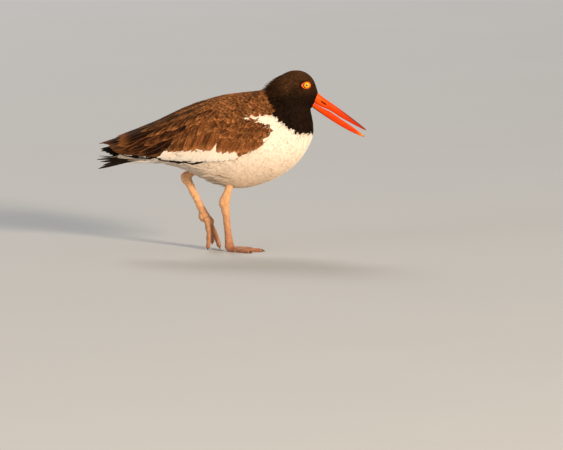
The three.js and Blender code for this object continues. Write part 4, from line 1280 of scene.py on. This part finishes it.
def build_legs():
    skin, horn = leg_finish(), claw_finish()
    for name, leg in LEGS.items():
        lifted = name == "left"
        y = leg["y"]
        thigh_end, heel, foot = np.array(leg["thigh"][1]), np.array(leg["heel"]), np.array(leg["foot"])
        start = thigh_end - (heel - thigh_end) / np.linalg.norm(heel - thigh_end) * 8
        to_heel = leg_line(y, start, heel, 21)
        down = leg_line(y, heel, foot, 49)
        along = unit(down[-1] - down[0])
        front = np.array((-along[2], 0, along[0]))
        v = np.linspace(0, 1, 22)
        shank = np.stack([np.interp(v, SHANK_MARKS, halves) for halves in SHANK_HALVES], axis=1)
        v = np.linspace(0, 1, 50)
        shin = np.stack([np.interp(v, SHIN_MARKS, halves) for halves in SHIN_HALVES], axis=1)
        lofts = [tube_rings(to_heel, shank), tube_rings(down, shin)]
        lofts.append(knob(down[0], (7.0, 5.4, 7.2), along))
        lofts.append(knob(down[0] - front * 3.2 + along * 2.5, (4.6, 4.2, 7.5), along))
        lofts.append(knob(down[2] + front * 2.6, (3.6, 4.0, 5.0), along))
        lofts.append(knob(down[-1], (6.4, 5.6, 6.4), along))
        lofts += scutes(down[6:-3], front, shin[6:-3], 3.1)
        for toe_name in FLAT_TOES:
            path = toe_path(leg, toe_name, lifted)
            v = np.linspace(0, 1, len(path))
            halves = np.stack([toe_half(v)] * 2, axis=1)
            across = toe_across(path)
            lofts.append(tube_rings(path, halves, across))
            for joint in TOE_JOINTS:
                at = int(joint * (len(path) - 1))
                half = toe_half(joint)
                lofts.append(knob(path[at], (half * 1.1, half * 1.12, half * 1.5), path[at + 1] - path[at]))
            lofts.append(knob(path[-1], (toe_half(1) * 0.98,) * 2 + (2.2,), path[-1] - path[-2]))
            top = unit(np.cross(path[-1] - path[0], across))
            top = top * (np.sign(top[2]) if not lifted else np.sign(top @ front))
            lofts += scutes(path[3:-1], top, halves[3:-1], 2.3)
            build_claw(f"{toe_name}_{name}", path, lifted, horn)
        if lifted:
            lofts.append(knob(down[-1] - front * 4.5 - along * 1, (4.6, 5, 6.5), along))
            palm = down[-1] + along * 7
            lofts.append(knob(palm + front * 1.5, (6.6, 6.4, 10), along + front * 0.25))
        mesh = merged(f"leg_{name}", lofts, 0.5, 3)
        places, normals = read_points(mesh, "co"), read_points(mesh, "normal")
        swell = 0.35 + 0.5 * folds(places / MM, 0.8) + 0.14 * folds(places / MM, 2.6)
        places = places + normals * swell[:, None] * MM
        places[:, 2] = np.maximum(places[:, 2], 0)
        mesh.vertices.foreach_set("co", places.ravel())
        # painted shade: the legs darken towards the floor, most on the feet
        low = np.clip(1 - places[:, 2:3] / MM / 80, 0, 1)
        paint(mesh, "tint", LEG_TINT * (1 - low) + FOOT_SHADE_TINT * low)
        nodes = [f"shank_{name}", f"tarsus_{name}"] + [f"toe_{toe}_{name}" for toe in FLAT_TOES]
        piece(f"leg_skin_{name}", mesh, skin, nodes)


def build_thigh_tufts(material):
    """Short feathers that run down the thighs and end in a ragged cuff round the shank."""
    for name, leg in LEGS.items():
        line = leg_line(leg["y"], *leg["thigh"], 24)
        rings = tube_rings(line, thigh_halves(24), sides=48)
        number = 420
        place = rng.uniform(0.2, 0.62, number)
        turn = rng.uniform(0, 48, number).astype(int)
        rows = 5
        spines, normals = [], []
        for v in np.linspace(0, 1, rows):
            at = place * 24 + v * 7
            i = np.minimum(at.astype(int), 23)
            f = (at - i)[:, None]
            point = rings[i, turn] * (1 - f) + rings[i + 1, turn] * f
            middle = line[i] * (1 - f) + line[i + 1] * f
            normal = unit(point - middle)
            spines.append(point + normal * (-0.8 + 1.3 * v))
            normals.append(normal)
        halves = rng.uniform(1.2, 2.2, number)[:, None] * blade(rows, 0.5, 0.5, 2)[None]
        tufts = vane_rings(np.stack(spines, 1), np.stack(normals, 1), halves, 5, 0.2, 0.05)
        batch = Batch()
        shade = rng.uniform(0.93, 1.03, (number, 1))
        batch.add(tufts, WHITE * shade, WHITE_PALE * shade, cell_patches(number))
        batch.build(f"thigh_tufts_{name}", material, "white_feathers")


def cell_patches(number):
    across = math.ceil(math.sqrt(number))
    cell = np.arange(number)
    corner = np.stack([cell % across, cell // across], axis=1)[:, None, None] / across
    return lambda vane: corner + vane * 0.9 / across


def build_claw(name, path, lifted, look):
    ahead = unit(path[-1] - path[-2])
    v = np.linspace(0, 1, 14)
    line = path[-1] - ahead * 1.4 + ahead[None] * (CLAW_LONG + 1.4) * v[:, None] * (0.72 if lifted else 1)
    halves = np.stack([2.2 * (1 - v ** 1.5 * 0.85), 1.85 * (1 - v ** 1.5 * 0.85)], axis=1)
    if lifted:
        low = 0.0 if path[-1][2] < CLAW_LONG else path[-1][2] - CLAW_LONG * 0.7
        line[:, 2] = np.interp(v, [0, 1], [line[0, 2], low + 0.1])
    else:
        line[:, 2] = np.maximum(line[:, 2] + 0.7 - 1.4 * v * v, halves[:, 0] * 0.9)
    rings = tube_rings(line, halves, toe_across(path), 14)
    rings[..., 2] = np.maximum(rings[..., 2], 0)
    batch = Batch()
    batch.add(rings[None], WHITE, around=True)
    batch.build(f"claw_horn_{name}", look, "claw", [f"claw_{name}"])


def build_stage():
    half = FLOOR_HALF
    mesh = bpy.data.meshes.new("floor")
    corners = [(-half, -half, 0), (half, -half, 0), (half, half, 0), (-half, half, 0)]
    mesh.from_pydata(corners, [], [(0, 1, 2, 3)])
    mesh.materials.append(floor_finish())
    floor = in_scene("floor", mesh)
    world = bpy.data.worlds.new("studio")
    world.use_nodes = True
    sky = world.node_tree.nodes["Background"].inputs
    sky["Color"].default_value = SKY
    sky["Strength"].default_value = SKY_STRENGTH
    bpy.context.scene.world = world
    for name, (place, size, power, colour) in LAMPS.items():
        lamp = bpy.data.lights.new(name, "AREA")
        lamp.shape, lamp.size, lamp.energy, lamp.color = "DISK", size, power, colour
        obj = in_scene(name, lamp)
        obj.location = place
        obj.visible_camera = False
        obj.rotation_euler = (LAMPS_AIM - Vector(place)).to_track_quat("-Z", "Y").to_euler()
    bpy.context.scene.view_settings.view_transform = "Standard"


def build_camera():
    """A long lens at the photo's height, with the bird where the photo has it."""
    back = Vector((0, -math.cos(CAMERA_ELEVATION), math.sin(CAMERA_ELEVATION)))
    camera = bpy.data.cameras.new("camera")
    camera.lens, camera.sensor_width, camera.clip_end = LENS, SENSOR, 200
    obj = in_scene("camera", camera)
    obj.location = CAMERA_AIM + back * (PHOTO_WIDE * MM_PER_PIXEL * MM * LENS / SENSOR)
    obj.rotation_euler = (-back).to_track_quat("-Z", "Y").to_euler()
    bpy.context.scene.camera = obj


build_camera()
build_stage()
looks = {
    "soft": feather_finish("hood_feather", 14, 0.7, 0.5, 0, 0.9),
    "crisp": feather_finish("back_feather", 24, 0.7, 0.62, 0, 1.0),
    "downy": feather_finish("white_feather", 20, 0.85, 0.4, 0.1, 0.22),
    "wisp": feather_finish("loose_barb", 3, 0.75, 0.9, 0, 0.3),
    "vane": feather_finish("flight_feather", 70, 0.6, 0.7, 0, 1.0),
    "white_vane": feather_finish("white_covert", 60, 0.8, 0.5, 0.1, 0.3),
}
build_skin()
build_coat(looks)
build_wings(looks)
build_tail(looks)
build_thigh_tufts(looks["downy"])
build_flank_plumes(looks["downy"])
build_bill()
build_eyes()
build_legs()
